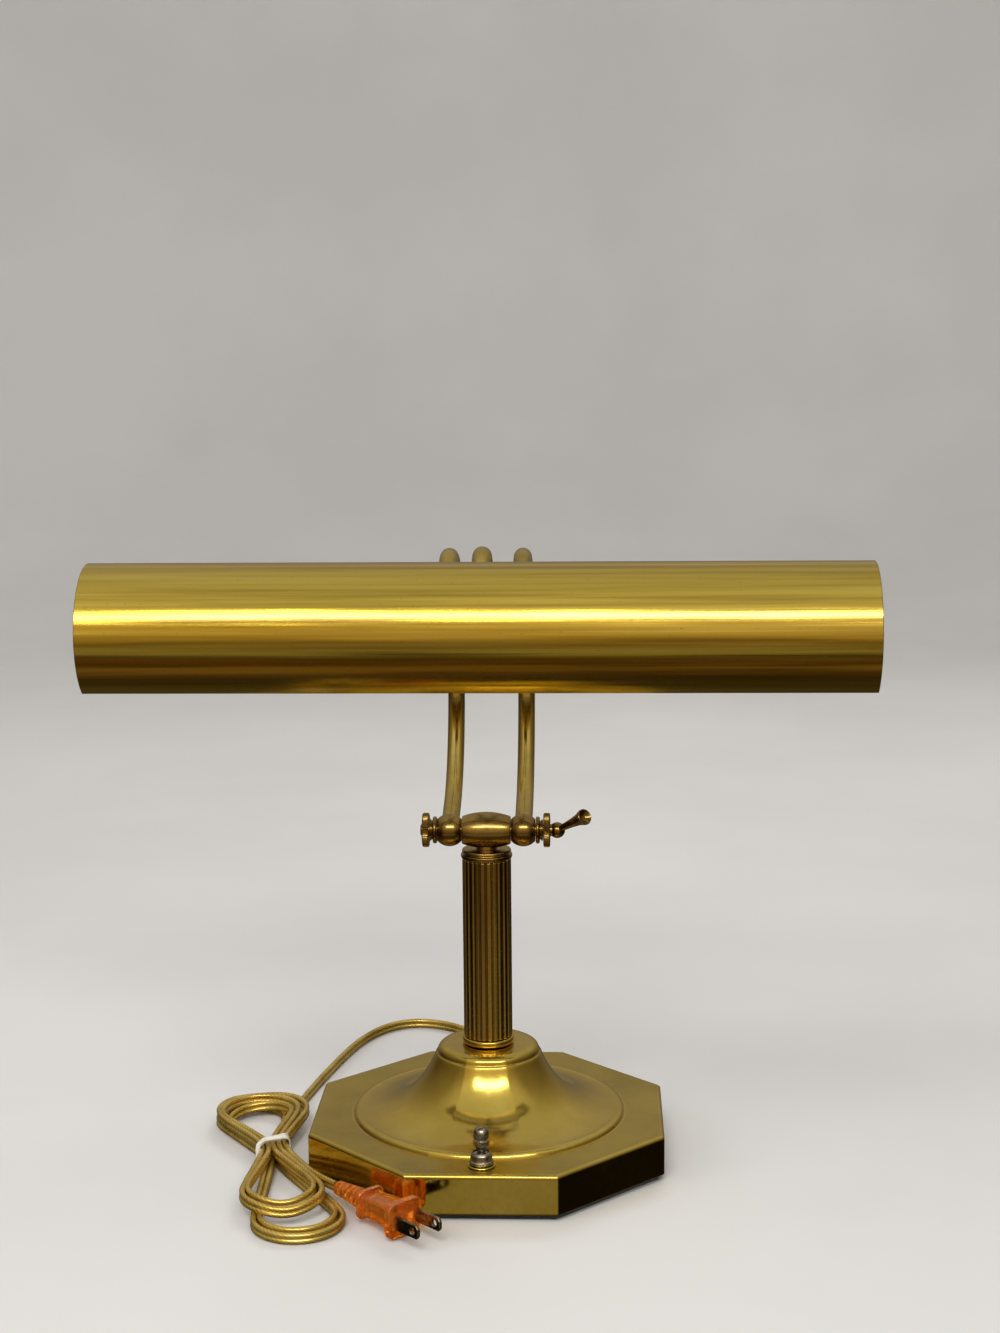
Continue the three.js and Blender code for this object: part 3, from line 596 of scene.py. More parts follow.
# The way from the strain relief down to the table, and round behind the base to the hank.
LEAD_DOWN = [
    (0, 110.3, 8.8), (-0.5, 121, 7.8), (-2, 133, 5.8), (-5, 146, 3.9), (-10, 158, 3.0)]
LEAD_ON_TABLE = [
    (-18, 170), (-29, 180), (-42, 187), (-54, 187.5), (-65, 181), (-74, 168), (-81, 151), (-86, 132),
    (-90.5, 112), (-94.5, 92), (-97.8, 74), (-100.5, 57)]

# The hank lies along its own axis u, from its upper bends to its lower ones, with v across it.
HANK_ANGLE = math.radians(-75.5)
LOW, HIGH = 2.8, 8.25  # heights of its two layers; the lead lies as low as the first
# One row for each turn: the places across the tie where it goes down and comes back, its layer,
# its lower bend as (u, v, radius, lift at the end) and its upper bend, and the layer it goes on to.
HANK_TURNS = [
    (4.4, -4.4, LOW, (76.3, 2.5, 20.6, 0), (-57.0, -5.2, 17.2, 0), LOW),
    (1.5, -1.5, LOW, (73.0, 2.5, 17.5, 0), (-49.5, -1.5, 16.4, 0), HIGH),
    (0.0, -2.9, HIGH, (51.5, -2.4, 16.0, -2.5), (-51.0, -1.0, 19.5, 0), HIGH),
    (2.9, -5.8, HIGH, (56.0, -2.2, 19.1, -2.5), (-51.4, 0.2, 22.7, -1.5), HIGH),
]
HANK_END = [
    (-8, 6.0, HIGH), (0, 5.9, HIGH), (8, 6.3, HIGH), (19, 9.0, HIGH), (30, 11.8, 8.5), (41, 15.0, 8.9),
    (50.7, 19.3, 9.2), (56.5, 22.7, 9.2),
]


def bend_points(bend, sign, start, end):
    """Points round one end of a turn, tear-shaped: sign is 1 for a lower bend and -1 for an upper one."""
    u, v, radius, lift = bend
    wrap = 90 + math.degrees(math.atan2(radius, abs(u)))
    points = []
    steps = 12
    for k in range(steps + 1):
        share = k / steps
        angle = math.radians(sign * wrap * (1 - 2 * share))
        height = start + (end - start) * share + lift * max(0, math.cos(angle)) ** 8
        points.append((u + sign * radius * math.cos(angle), v + radius * math.sin(angle), height))
    return points


def hank_route():
    """The hank's centreline from the lead to the plug, in metres."""
    route = [(-60, 19.6, LOW), (-48, 16.2, LOW), (-34, 12.0, LOW), (-20, 7.8, LOW)]
    for down, back, layer, lower, upper, following in HANK_TURNS:
        route += [(-8, down * 1.1, layer), (0, down, layer), (8, down * 1.1, layer)]
        route += bend_points(lower, 1, layer, layer)
        route += [(8, back * 1.1, layer), (0, back, layer), (-8, back * 1.1, layer)]
        route += bend_points(upper, -1, layer, following)
    route += HANK_END
    at = middle("cord_tie")
    turn = Matrix.Rotation(HANK_ANGLE, 3, "Z")
    return [turn @ Vector((u, v, 0)) * MM + Vector((at.x, at.y, z * MM)) for u, v, z in route]


def cord_section():
    """Two round conductors joined along a groove, in metres."""
    radius = CORD_THICK / 2
    spread = CORD_WIDTH / 2 - radius
    groove = 34  # degrees that each conductor's outline stops short of the middle
    around = 180 - groove
    return (arc((0, spread), radius, 90 - around, 90 + around, 13)
            + arc((0, -spread), radius, 270 - around, 270 + around, 13))


def make_cord(vinyl):
    lead = [Vector(p) * MM for p in LEAD_DOWN] + [Vector((x, y, LOW)) * MM for x, y in LEAD_ON_TABLE]
    path = smooth_path(lead + hank_route(), CORD_STEP)
    section = cord_section()
    mesh = sweep(path, section, roll=lambda share: 0.10 * math.sin(37 * share))  # it rocks as it lies
    run = path_length(path) / len(path) / CORD_WIDTH
    around = len(section)
    cord = build_object(
        "lamp_cord", mesh, [vinyl], uv=lambda i: (run * (i // around), (i % around) / around))
    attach(cord, "base")
    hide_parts("cord_lead", "cord_hank", "cord_tail")
    return cord, path


def rounded_rectangle(width, height, corner, steps):
    points = []
    for sx, sy, start in ((1, 1, 0), (-1, 1, 90), (-1, -1, 180), (1, -1, 270)):
        centre = (sx * (width / 2 - corner), sy * (height / 2 - corner))
        points += arc(centre, corner, start, start + 90, steps)
    return points


def make_tie(rubber):
    """A rubber band wound three times round the hank's waist, crossing over itself on top."""
    turns, per_turn, band, crossing_from = 3, 64, (0.9, 2.9), 2.05
    low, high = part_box("cord_tie")
    height, half = (high.z + low.z) / 2 / MM, (high.z - low.z) / 2 / MM
    across, up = half + 1.15, half - 0.75
    path = []
    for i in range(turns * per_turn):
        share = i / per_turn
        a = TAU * share
        # Powers below one square the loop off, as the flat bundle inside does.
        x = across * math.copysign(abs(math.cos(a)) ** 0.45, math.cos(a))
        z = up * math.copysign(abs(math.sin(a)) ** 0.55, math.sin(a))
        # It drifts along the hank as it winds, and its last turn crosses back over the others.
        last = max(0.0, (share - crossing_from) / (turns - crossing_from))
        crossing = last * last * (3 - 2 * last)
        along = -2.6 + 2.5 * min(share, crossing_from) - 3.4 * math.cos(a) - 5.1 * crossing
        lift = 1 + 0.09 * math.sin(math.pi * last)
        path.append(Vector((along, x * lift, max(z * lift, 0.55 - height))))

    def twist(share):
        """The band twists where it is free on top, and lies flat underneath."""
        return 0.5 * math.sin(TAU * 5 * share + 0.7) * max(0.0, math.sin(TAU * turns * share))

    section = rounded_rectangle(*band, 0.4, 2)
    mesh = sweep(path, section, up=Vector((1, 0, 0)), roll=twist, closed=True)
    return stand_in("cord_tie", moved(mesh, Matrix.Rotation(HANK_ANGLE, 3, "Z")), middle("cord_tie"), rubber)


PLUG_ANGLE = math.radians(-45)
PLUG_ORIGIN = (-0.0685, -0.0675, 0.0092)  # on the plug's axis, where its ribbed neck begins
PLUG_FACE = 51.1  # where the blades start, along the plug's axis
BLADE_SPACING = 12.7


def on_plug_axis(mesh):
    """Lays a mesh built along Z on the plug's axis, its X kept level."""
    axis = Vector((math.cos(PLUG_ANGLE), math.sin(PLUG_ANGLE), 0))
    across = Vector((-axis.y, axis.x, 0))
    return moved(mesh, Matrix((across, Vector((0, 0, 1)), axis)).transposed())


def plug_body_mesh():
    """A ribbed neck, a thin flange, the grip, and the wide front flange round the blades."""
    neck = [(0, 3.0)]
    for i in range(6):
        radius, start = 3.45 + 0.3 * i, 3.0 + 3.5 * i
        neck += [(radius - 0.8, start), (radius, start + 0.35), (radius, start + 2.0),
                 (radius - 0.8, start + 2.4)]
    neck += [(4.3, 24.2), (0, 24.2)]
    sections = [  # (place along the axis, width, height, corner)
        (24.0, 13.0, 11.5, 2.6), (24.15, 14.2, 12.7, 3.0), (24.7, 15.0, 13.5, 3.2), (26.3, 15.0, 13.5, 3.2),
        (26.85, 14.2, 12.7, 3.0), (27.0, 12.4, 10.2, 2.2), (27.4, 12.0, 9.8, 2.0), (30.0, 12.1, 9.9, 2.0),
        (38.0, 12.8, 10.5, 2.0), (45.5, 13.5, 11.0, 2.0), (46.6, 14.2, 11.7, 2.2), (47.0, 17.5, 14.5, 3.2),
        (47.2, 18.7, 15.7, 3.5), (47.8, 19.5, 16.5, 3.6), (50.3, 19.5, 16.5, 3.6), (50.8, 18.9, 15.9, 3.4),
        (51.0, 17.8, 14.8, 3.0),
    ]
    rings = [[Vector((x, y, s)) for x, y in rounded_rectangle(w, h, c, 5)] for s, w, h, c in sections]
    return joined(turned(neck, 40), lofted(rings, capped=True))


def rim_reach(corners, centre, direction):
    """How far a ray from the centre goes before it leaves a flat outline with those corners."""
    for a, b in zip(corners, corners[1:] + corners[:1]):
        edge, start = Vector(b) - Vector(a), Vector(a) - centre
        crossed = direction.x * edge.y - direction.y * edge.x
        if abs(crossed) < 1e-9:
            continue
        reach = (start.x * edge.y - start.y * edge.x) / crossed
        along = (start.x * direction.y - start.y * direction.x) / crossed
        if reach > 0 and -1e-6 <= along <= 1 + 1e-6:
            return reach
    raise ValueError("the centre is outside the outline")


def blade_mesh():
    """A flat blade with a chamfered tip and a hole, in its own plane, thickness along X."""
    length, tall, thick, hole, edge = 16.5, 6.35, 1.5, 1.55, 0.25
    centre = Vector((0, length - 4))
    corners = [(-tall / 2, 0), (tall / 2, 0), (tall / 2, length - 1.4), (tall / 4, length),
               (-tall / 4, length), (-tall / 2, length - 1.4)]
    count = 72
    directions = [polar(1, TAU * k / count) for k in range(count)]
    reaches = [rim_reach(corners, centre, direction) for direction in directions]

    def ring(inset, x, in_hole=False):
        """Round the blade's rim, or round its hole, that far inside the metal."""
        distances = [hole + inset] * count if in_hole else [reach - inset for reach in reaches]
        return [Vector((x, *(centre + direction * distance)))
                for direction, distance in zip(directions, distances)]

    half = thick / 2
    profile = [(edge, -half), (0, edge - half), (0, half - edge), (edge, half)]
    rings = [ring(*p) for p in profile] + [ring(*p, in_hole=True) for p in reversed(profile)]
    return lofted(rings, closed=True)


def make_plug(amber, blade_metal):
    pieces = [stand_in("plug_body", on_plug_axis(plug_body_mesh()), PLUG_ORIGIN, amber)]
    for side, sign in SIDES:
        vertices, faces = blade_mesh()
        place = Vector((sign * BLADE_SPACING / 2, 0, PLUG_FACE))
        mesh = on_plug_axis(([p + place for p in vertices], faces))
        pieces.append(stand_in("plug_blade_" + side, mesh, PLUG_ORIGIN, blade_metal))
    return pieces


def make_bushing(vinyl):
    """The strain relief: a grooved part in the base's wall, a collar, and a ribbed taper."""
    outline = [(0, 81.8), (5.1, 81.8), (5.1, 83.3), (3.3, 83.4), (3.3, 85.2), (5.2, 85.3), (5.2, 86.9),
               (4.9, 87.3)]
    for i in range(6):
        radius, start = 4.4 - 0.22 * i, 88.0 + 3.4 * i
        outline += [(radius - 0.7, start), (radius, start + 0.3), (radius - 0.08, start + 2.0),
                    (radius - 0.75, start + 2.3)]
    outline += [(2.85, 108.8), (2.7, 110), (0, 110)]
    mesh = moved(turned(outline, 48), Matrix.Rotation(-math.pi / 2, 3, "X"))
    stand_in("cord_bushing", mesh, (0, 0, middle("cord_bushing").z), vinyl)


# ------------------------------------------------------------------ base

EIGHTH = 45  # degrees from one side of the base to the next
OCTAGON_CORNER = 2.4


def octagon_ring(inset, height):
    """A ring of points round the base at that distance inside its flats."""
    corner_steps, side_steps = 4, 7
    low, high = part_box("base_shell")
    half = (high.y - low.y) / MM / 2 - inset
    corner = max(0.3, OCTAGON_CORNER - inset)
    reach = (half - corner) / math.cos(math.radians(EIGHTH / 2))
    points = []
    for k in range(8):
        centre, following = (polar(reach, math.radians(EIGHTH * (k + j))) for j in (0.5, 1.5))
        points += arc(centre, corner, EIGHTH * k, EIGHTH * (k + 1), corner_steps)
        start, end = points[-1], following + polar(corner, math.radians(EIGHTH * (k + 1)))
        points += [start.lerp(end, i / side_steps) for i in range(1, side_steps)]
    return [Vector((p.x, p.y, height)) for p in points]


def round_ring(radius, height):
    """A circle with its points on the same rays as the octagon's."""
    return [Vector((p.x, p.y, 0)).normalized() * radius + Vector((0, 0, height)) for p in octagon_ring(0, 0)]


def make_base_shell(polished, satin):
    """One drawn shell: rolled octagonal skirt, flat top, raised rim, bell and crown, with its inside."""
    top, bottom, wall, hem, roll = 22.0, 2.8, 1.2, 0.5, 1.8
    flat_inner = 66.5  # radius where the flat top ends
    rings = [octagon_ring(wall, top - wall), octagon_ring(wall, bottom + 0.3)]
    for a in quarter(3):
        rings.append(octagon_ring(hem * (1 - math.sin(a)), bottom + hem * (1 - math.cos(a))))
    rings += [octagon_ring(0, bottom + 1.2), octagon_ring(0, top - 2.4)]
    for a in quarter(6):
        rings.append(octagon_ring(roll * (1 - math.cos(a)), top - roll * (1 - math.sin(a))))
    rings.append(octagon_ring(2.6, top))
    bell = [
        (67.4, top), (flat_inner, top + 0.05),
        *bezier((flat_inner, top + 0.05), (66.0, 23.9), (64.8, 24.35), (63.4, 24.35), 6),
        *bezier((63.4, 24.35), (62.6, 24.35), (62.4, 24.15), (61.6, 24.2), 3),
        *bezier((61.6, 24.2), (42, 24.6), (31.2, 37.8), (25.9, 51.3), 30),
        *bezier((25.9, 51.3), (25.6, 52.1), (25.0, 52.0), (24.95, 52.4), 3),
        *bezier((24.95, 52.4), (24.6, 55.0), (22.8, 56.3), (20.4, 56.3), 10),
        (19.6, 56.25), (13.0, 56.25), (5.2, 56.25),
    ]
    inside = [(5.2, 55.1), (19.4, 55.1), (23.6, 52.0), (29.6, 37.4), (41, 26.5), (60, 22.9),
              (64.0, top - wall)]
    rings += [round_ring(*p) for p in bell + inside]

    def pick(face):
        radius = math.hypot(face.center.x, face.center.y) / MM
        return 1 if abs(face.center.z / MM - top) < 0.02 and radius > flat_inner else 0

    stand_in("base_shell", lofted(rings, closed=True), (0, 0, 0), polished, satin, pick=pick)


# ------------------------------------------------------------------ column and knuckles

COLUMN_FLUTES = 24
FLUTE_HALF_WIDTH = 0.6  # as the sine of its share of half a turn between two flutes
FLUTE_DEPTH = 0.6


def flute_patina_and_painted_shadow(finish):
    """Brown tarnish settled in the bottoms of the column's flutes, and a painted shadow of the shade darkening its
    upper half.
    """
    split = finish.node("SeparateXYZ", {"Vector": finish.place})
    angle = finish.math("ARCTAN2", split.outputs["Y"], split.outputs["X"])
    across = finish.math("ABSOLUTE", finish.math("SINE", finish.math("MULTIPLY", angle, COLUMN_FLUTES / 2)))
    settled = finish.band(across, 0.1, FLUTE_HALF_WIDTH, 0.7, 0)
    # Painted shadow: the column darker towards its top, where the shade's shadow falls.
    aged = finish.band(split.outputs["Z"], 0.06, 0.15, 0, 0.42)
    return finish.math("MAXIMUM", settled, aged)


def make_column(fluted, aged, bright):
    low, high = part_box("column_foot_ring")
    rim, bore = high.x / MM, 5.1
    foot = [(bore, 0), (rim - 0.6, 0, 0.5), (rim, 0.7, 0.4), (rim, 2.2, 0.8), (rim - 0.5, 3.2, 0.5),
            (bore, 3.2)]
    stand_in("column_foot_ring", turned_ring(foot, 72), (0, 0, low.z), bright)

    low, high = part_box("column_tube")
    tall, radius, inner = (high.z - low.z) / MM, high.x / MM, 9.3
    outline = [(inner, 0), (radius - 0.5, 0), (radius, 0.5), (radius, tall * 0.5), (radius, tall - 0.5),
               (radius - 0.5, tall), (inner, tall)]

    def flute(angle, at_radius, height):
        across = math.sin(angle * COLUMN_FLUTES / 2) / FLUTE_HALF_WIDTH
        return -FLUTE_DEPTH * max(0, 1 - across * across) if at_radius > inner + 0.5 else 0

    tube = ruffled(outline, flute, COLUMN_FLUTES * 16, closed=True)
    stand_in("column_tube", tube, (0, 0, low.z), fluted, sharp=60)

    low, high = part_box("column_cap")
    rim = high.x / MM
    cap = [(bore, 0), (rim - 0.4, 0, 0.2), (rim, 0.5, 0.3), (rim, 2.0, 0.4), (rim - 1.2, 2.25, 0.2),
           (rim - 1.4, 2.7, 0.2), (rim - 0.5, 3.05, 0.3), (rim - 0.7, 4.2, 0.5), (bore, 4.2)]
    stand_in("column_cap", turned_ring(cap, 72), (0, 0, low.z), aged)


def knuckle_barrel(neck_radius, neck_end, sign):
    """The olive between the arms, lying along X, with its neck down or up."""
    half, bulge, end = 11.7, 9.4, 6.85
    olive = [(0, -half), (end - 0.7, -half), (end - 0.2, -half + 0.15), (end, -half + 0.5),
             *bezier((end, -half + 0.5), (bulge, -half / 3), (bulge, half / 3), (end, half - 0.5), 20),
             (end - 0.2, half - 0.15), (end - 0.7, half), (0, half)]
    neck = [(0, 2 * sign), (neck_radius, 2 * sign), (neck_radius, (neck_end - 0.4) * sign),
            (neck_radius - 0.4, neck_end * sign), (0, neck_end * sign)]
    return joined(along_x(turned(olive, 64)), turned(neck, 48))


def eye_mesh():
    """A ball with flat sides."""
    radius, half = 7.85, 5.75
    end = math.asin(half / radius)
    flat = radius * math.cos(end) - 0.5
    round_part = arc((0, 0), radius, -math.degrees(end), math.degrees(end), 18)
    return along_x(turned([(0, -half), (flat, -half), *round_part, (flat, half), (0, half)], 56))


def collar_mesh(inner):
    outline = filleted([(3.2, 0), (6.0, 0, 0.2), (6.7, 0.9, 0.5), (6.1, 1.9, 0.3), (4.6, 2.0, 0.2),
                        (4.5, 2.5, 0.2), (5.2, 2.8, 0.25), (5.1, 3.4, 0.2), (3.2, 3.4)])
    return along_x(turned([(x, y + inner) for x, y in outline], 56, closed=True))


def disc_mesh(inner):
    teeth, depth, wide = 44, 0.38, 3.2
    outline = filleted([
        (3.2, 0.2), (5.6, 0.2), (6.0, 0, 0.2), (7.75, 0, 0.2), (8.25, 0.45, 0.2), (8.25, wide - 0.45, 0.2),
        (7.75, wide, 0.2), (6.0, wide, 0.2), (5.4, wide - 0.35, 0.2), (3.2, wide - 0.35)])
    cut = knurl(depth, teeth, lambda radius, height: radius > 7.9)
    return along_x(ruffled([(x, y + inner) for x, y in outline], cut, teeth * 6, closed=True))


def make_knuckle(level, at, aged):
    """The eyes, collars and knurled discs on both sides of one knuckle."""
    for side, sign in SIDES:
        node = f"{level}_eye_{side}"
        stand_in(node, eye_mesh(), (middle(node).x, at.y, at.z), aged)
        for kind, mesh_of in (("collar", collar_mesh), ("disc", disc_mesh)):
            node = f"{level}_{kind}_{side}"
            inner = min(abs(corner.x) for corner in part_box(node)) / MM
            stand_in(node, mirrored(mesh_of(inner), sign), at, aged)


# ------------------------------------------------------------------ arms, clamp and switch

ARM_RADIUS = 4.25
BOLT_REACH = 31.7  # half the length of the bolt and of the screw through the knuckles
LEVER_HUB, LEVER_HUB_X = 3.85, 34.1
LEVER_DIRECTION = (0.56, -0.7, 0.44)


def tube_mesh(route, radius, x=0):
    """A solid round rod along a centreline of (y, z) points."""
    steps = 28
    section = [polar(radius, TAU * k / steps) for k in range(steps)]
    return sweep([Vector((x, y, z)) for y, z in route], section, up=Vector((1, 0, 0)))


def arm_route():
    """The arm's centreline in (y, z) from the lower knuckle's axis, as in its CAD solid."""
    exit_angle, rear, lower_bend, front_bend, eye_reach = math.radians(17), 66.0, 60.0, 20.0, 4.4
    apex = (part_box("arm_left")[1].z - LOWER_KNUCKLE.z) / MM - ARM_RADIUS
    turn = math.pi / 2 - exit_angle
    upper_bend = rear - front_bend
    straight = (rear - lower_bend * (1 - math.cos(turn))) / math.cos(exit_angle)
    lower_centre = straight * math.sin(exit_angle) + lower_bend * math.sin(turn)
    return [
        *(polar(r, exit_angle) for r in (eye_reach, straight * 0.35, straight * 0.7)),
        *arc((rear - lower_bend, lower_centre), lower_bend, -math.degrees(turn), 0, 20),
        *arc((front_bend, apex - upper_bend), upper_bend, 0, 90, 20),
        *arc((front_bend, apex - front_bend), front_bend, 90, 180, 12)[1:],
        Vector((0, (UPPER_KNUCKLE.z - LOWER_KNUCKLE.z) / MM + eye_reach)),
    ]


def make_arms(bright):
    for side, _ in SIDES:
        node = "arm_" + side
        stand_in(node, tube_mesh(arm_route(), ARM_RADIUS, middle(node).x / MM), LOWER_KNUCKLE, bright)


def make_bolts(aged, steel):
    radius, reach = 2.9, BOLT_REACH
    end = [(0, -reach), (radius - 0.5, -reach), (radius, -reach + 0.5)]
    bolt = end + [(r, -height) for r, height in reversed(end)]
    stand_in("upper_bolt", along_x(turned(bolt, 32)), UPPER_KNUCKLE, steel)

    hub_start = math.degrees(math.asin(radius / LEVER_HUB))
    screw = end + arc((0, LEVER_HUB_X), LEVER_HUB, -90 + hub_start, 90, 20)
    stand_in("clamp_screw", along_x(turned(screw, 40)), LOWER_KNUCKLE, aged)

    length = 24.0
    handle = filleted([
        (0, 1.8), (1.45, 1.8), (1.45, 4.6, 0.3), (1.6, 5.0, 0.3), (2.0, 12.0, 2), (2.8, 19.0, 2),
        (3.85, 22.7, 0.8), (3.85, length - 0.4, 0.25), (3.5, length, 0.2), (3.2, length - 0.1, 0.2),
        (1.6, length - 1.6, 0.8), (0, length - 1.9)])
    hub = LOWER_KNUCKLE + Vector((LEVER_HUB_X * MM, 0, 0))
    stand_in("clamp_lever", pointing(turned(handle, 48), LEVER_DIRECTION), hub, aged)


def make_switch(nickel, bright):
    at = (SWITCH_AXIS.x, SWITCH_AXIS.y, 0)
    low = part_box("switch_washer")[0].z / MM
    washer = [(3.9, low), (6.3, low, 0.1), (6.5, low + 0.25, 0.2), (6.2, low + 0.7, 0.25), (3.9, low + 0.7)]
    stand_in("switch_washer", turned_ring(washer, 48), at, bright)

    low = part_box("switch_nut")[0].z / MM
    nut = [(3.8, low), (5.55, low, 0.2), (5.65, low + 1.4, 0.3), (5.1, low + 1.75, 0.15),
           (5.0, low + 2.2, 0.15), (5.2, low + 2.5, 0.2), (4.95, low + 4.5, 0.5), (4.1, low + 5.6, 0.4),
           (3.8, low + 5.6)]
    stand_in("switch_nut", turned_ring(nut, 48), at, nickel)

    low, high = (corner.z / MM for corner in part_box("switch_knob"))
    foot = SWITCH_AXIS.z / MM  # where the knob widens above its spindle
    knob = filleted([
        (0, low), (1.6, low), (1.6, foot), (2.4, foot, 0.2), (2.5, foot + 1.0, 0.3), (3.2, foot + 2.4, 0.6),
        (3.7, foot + 3.2, 0.4), (3.7, foot + 5.2, 0.15), (3.15, foot + 5.5, 0.15),
        (3.15, foot + 6.0, 0.15), (3.7, foot + 6.3, 0.15), (3.7, foot + 8.9, 1.0),
        (2.9, foot + 10.6, 1.2), (1.4, high - 0.1, 0.8), (0, high)], 5)
    teeth, depth = 22, 0.14
    cut = knurl(depth, teeth, lambda radius, height: radius > 3.4 and foot + 3.0 < height < foot + 8.6)
    stand_in("switch_knob", ruffled(knob, cut, teeth * 6), at, nickel)


# ------------------------------------------------------------------ shade, neck, sockets and bulbs

SHADE_LIP = 52.7  # degrees below the horizontal, front and back
SHADE_WALL = 0.9
NECK_RADIUS, NECK_BEND = 4.5, 14.0
NECK_ENTRY = math.radians(47)  # above the horizontal, at the shade's back
NECK_DIRECTION = Vector((0, math.cos(NECK_ENTRY), math.sin(NECK_ENTRY)))


def shade_axis():
    """The middle of the shade's axis, its radius and half its length."""
    low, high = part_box("shade_shell")
    radius = (high.y - low.y) / 2
    return Vector((0, (low.y + high.y) / 2, high.z - radius)), radius / MM, high.x / MM


def trough(outer, inner, from_x, to_x, steps):
    """A C-shaped sheet along X with rounded edges, measured from the shade's axis."""
    arc_steps = 96
    edge, middle_radius = (outer - inner) / 2, (outer + inner) / 2
    section = []
    for radius, start, end in ((outer, -SHADE_LIP, 180 + SHADE_LIP), (inner, 180 + SHADE_LIP, -SHADE_LIP)):
        section += arc((0, 0), radius, start, end, arc_steps)
        section.append(polar(middle_radius, math.radians(end) + math.copysign(edge / radius, end - start)))
    xs = [from_x, from_x + edge * 0.6,
          *(from_x + 1 + (to_x - from_x - 2) * k / steps for k in range(steps + 1)),
          to_x - edge * 0.6, to_x]
    rings = []
    for i, x in enumerate(xs):
        pinch = 0.45 if i in (0, len(xs) - 1) else 1
        ring = []
        for p in section:
            radius = middle_radius + (p.length - middle_radius) * pinch
            ring.append(Vector((x, p.x / p.length * radius, p.y / p.length * radius)))
        rings.append(ring)
    vertices, faces = lofted(rings)
    # Each end is closed by a strip from the outer arc's points to the inner one's.
    half = arc_steps + 2
    for start, flip in ((0, True), (len(vertices) - 2 * half, False)):
        for i in range(arc_steps):
            a, b = start + i, start + i + 1
            c, d = start + 2 * half - 3 - i, start + 2 * half - 2 - i
            faces.append((d, c, b, a) if flip else (a, b, c, d))
    return vertices, faces


def make_shade(brushed, satin, enamel):
    at, radius, half = shade_axis()
    sheet, flange_depth = 0.8, 6  # of the end caps

    def pick(face):
        away = math.hypot(face.center.y - at.y, face.center.z - at.z) / MM
        return 1 if away < radius - SHADE_WALL / 2 - 0.2 else 0

    mesh = trough(radius, radius - SHADE_WALL, -half, half, 40)
    stand_in("shade_shell", mesh, at, brushed, enamel, pick=pick)

    plate_radius = radius - SHADE_WALL - 0.3
    plate = arc((0, 0), plate_radius, -SHADE_LIP, 180 + SHADE_LIP, 80)
    for side, sign in SIDES:
        outside = max(abs(corner.x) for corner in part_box("shade_end_" + side)) / MM
        face = along_x(extruded(plate, outside - sheet, outside, 0.3))
        flange = trough(plate_radius, plate_radius - sheet, outside - flange_depth, outside - 0.5, 2)

        def pick_end(polygon, inner_side=(outside - 0.5) * MM):
            return 1 if abs(polygon.center.x) < inner_side else 0

        stand_in("shade_end_" + side, mirrored(joined(face, flange), sign), at, satin, enamel, pick=pick_end)


def make_neck(bright, aged, steel):
    at, radius, _ = shade_axis()
    entry = NECK_DIRECTION.yz
    axis = Vector((at.y, at.z - UPPER_KNUCKLE.z)) / MM
    bend, turn = NECK_BEND, math.pi - NECK_ENTRY
    reach = (-axis.x - bend * (1 + entry.x)) / entry.x
    end = axis + entry * reach
    centre = (-bend, end.y - bend * math.sin(turn))
    route = [
        (0, 6.5), (0, centre[1] * 0.6), *arc(centre, bend, 0, math.degrees(turn), 20),
        end - entry * (reach - radius - 2.3)]
    stand_in("neck_tube", tube_mesh(route, NECK_RADIUS), UPPER_KNUCKLE, bright)
    stand_in("upper_knuckle_barrel", knuckle_barrel(6.3, 10, 1), UPPER_KNUCKLE, aged)

    seat = radius + 0.3
    flange = [(4.9, seat), (7.8, seat, 0.2), (8.0, seat + 0.6, 0.3), (6.6, seat + 1.6, 0.5),
              (5.9, seat + 1.9), (4.9, seat + 1.9)]
    stand_in("neck_flange", pointing(turned_ring(flange, 48), NECK_DIRECTION), at, bright)

    corner_radius = 8.083
    corners = [polar(corner_radius, TAU * k / 6) for k in range(7)]
    nut = [a.lerp(b, t) for a, b in zip(corners, corners[1:]) for t in (0.04, 0.5, 0.96)]
    stand_in("neck_locknut", pointing(extruded(nut, 25.8, 28.8, 0.35), NECK_DIRECTION), at, steel)


def socket_mesh():
    return along_x(turned(filleted([
        (0, 8.3), (13.5, 8.3, 0.8), (15.6, 10.0, 1.5), (16.2, 13.5), (16.2, 15.0, 0.3), (17.0, 15.6, 0.3),
        (17.0, 41.0, 0.5), (16.3, 42.0, 0.4), (14.2, 42.0, 0.4), (13.7, 41.4), (13.7, 16.2), (0, 16.2)]), 64))


def bulb_cap_mesh():
    """A screw shell with its rolled thread, over the insulator and the foot contact."""
    outline = [(0, 16.6), (3.8, 16.6), (4.6, 17.2), (5.0, 18.2), (10.4, 20.2), (11.6, 21.2)]
    pitch, start, turns, per_turn = 3.4, 21.6, 5, 10
    for i in range(turns * per_turn):
        outline.append((12.5 + 0.6 * math.sin(TAU * i / per_turn), start + i * pitch / per_turn))
    outline += [(12.6, 38.8), (12.9, 39.4), (12.9, 40.2), (0, 40.2)]
    return along_x(turned(outline, 56))


def bulb_mesh():
    """A tubular bulb with a rounded end."""
    neck, radius, shoulder, dome, dome_height = 12.9, 15.9, 62.5, 143.3, 12.7
    outline = [(0, 40.6), (neck, 40.6),
               *bezier((neck, 40.6), (neck, 48.5), (radius, 50.5), (radius, shoulder), 12)]
    outline += [(radius, shoulder + (dome - shoulder) * k / 4) for k in range(1, 4)]
    outline += [(radius * math.cos(a), dome + dome_height * math.sin(a)) for a in quarter(16)]
    return along_x(turned(outline, 56))


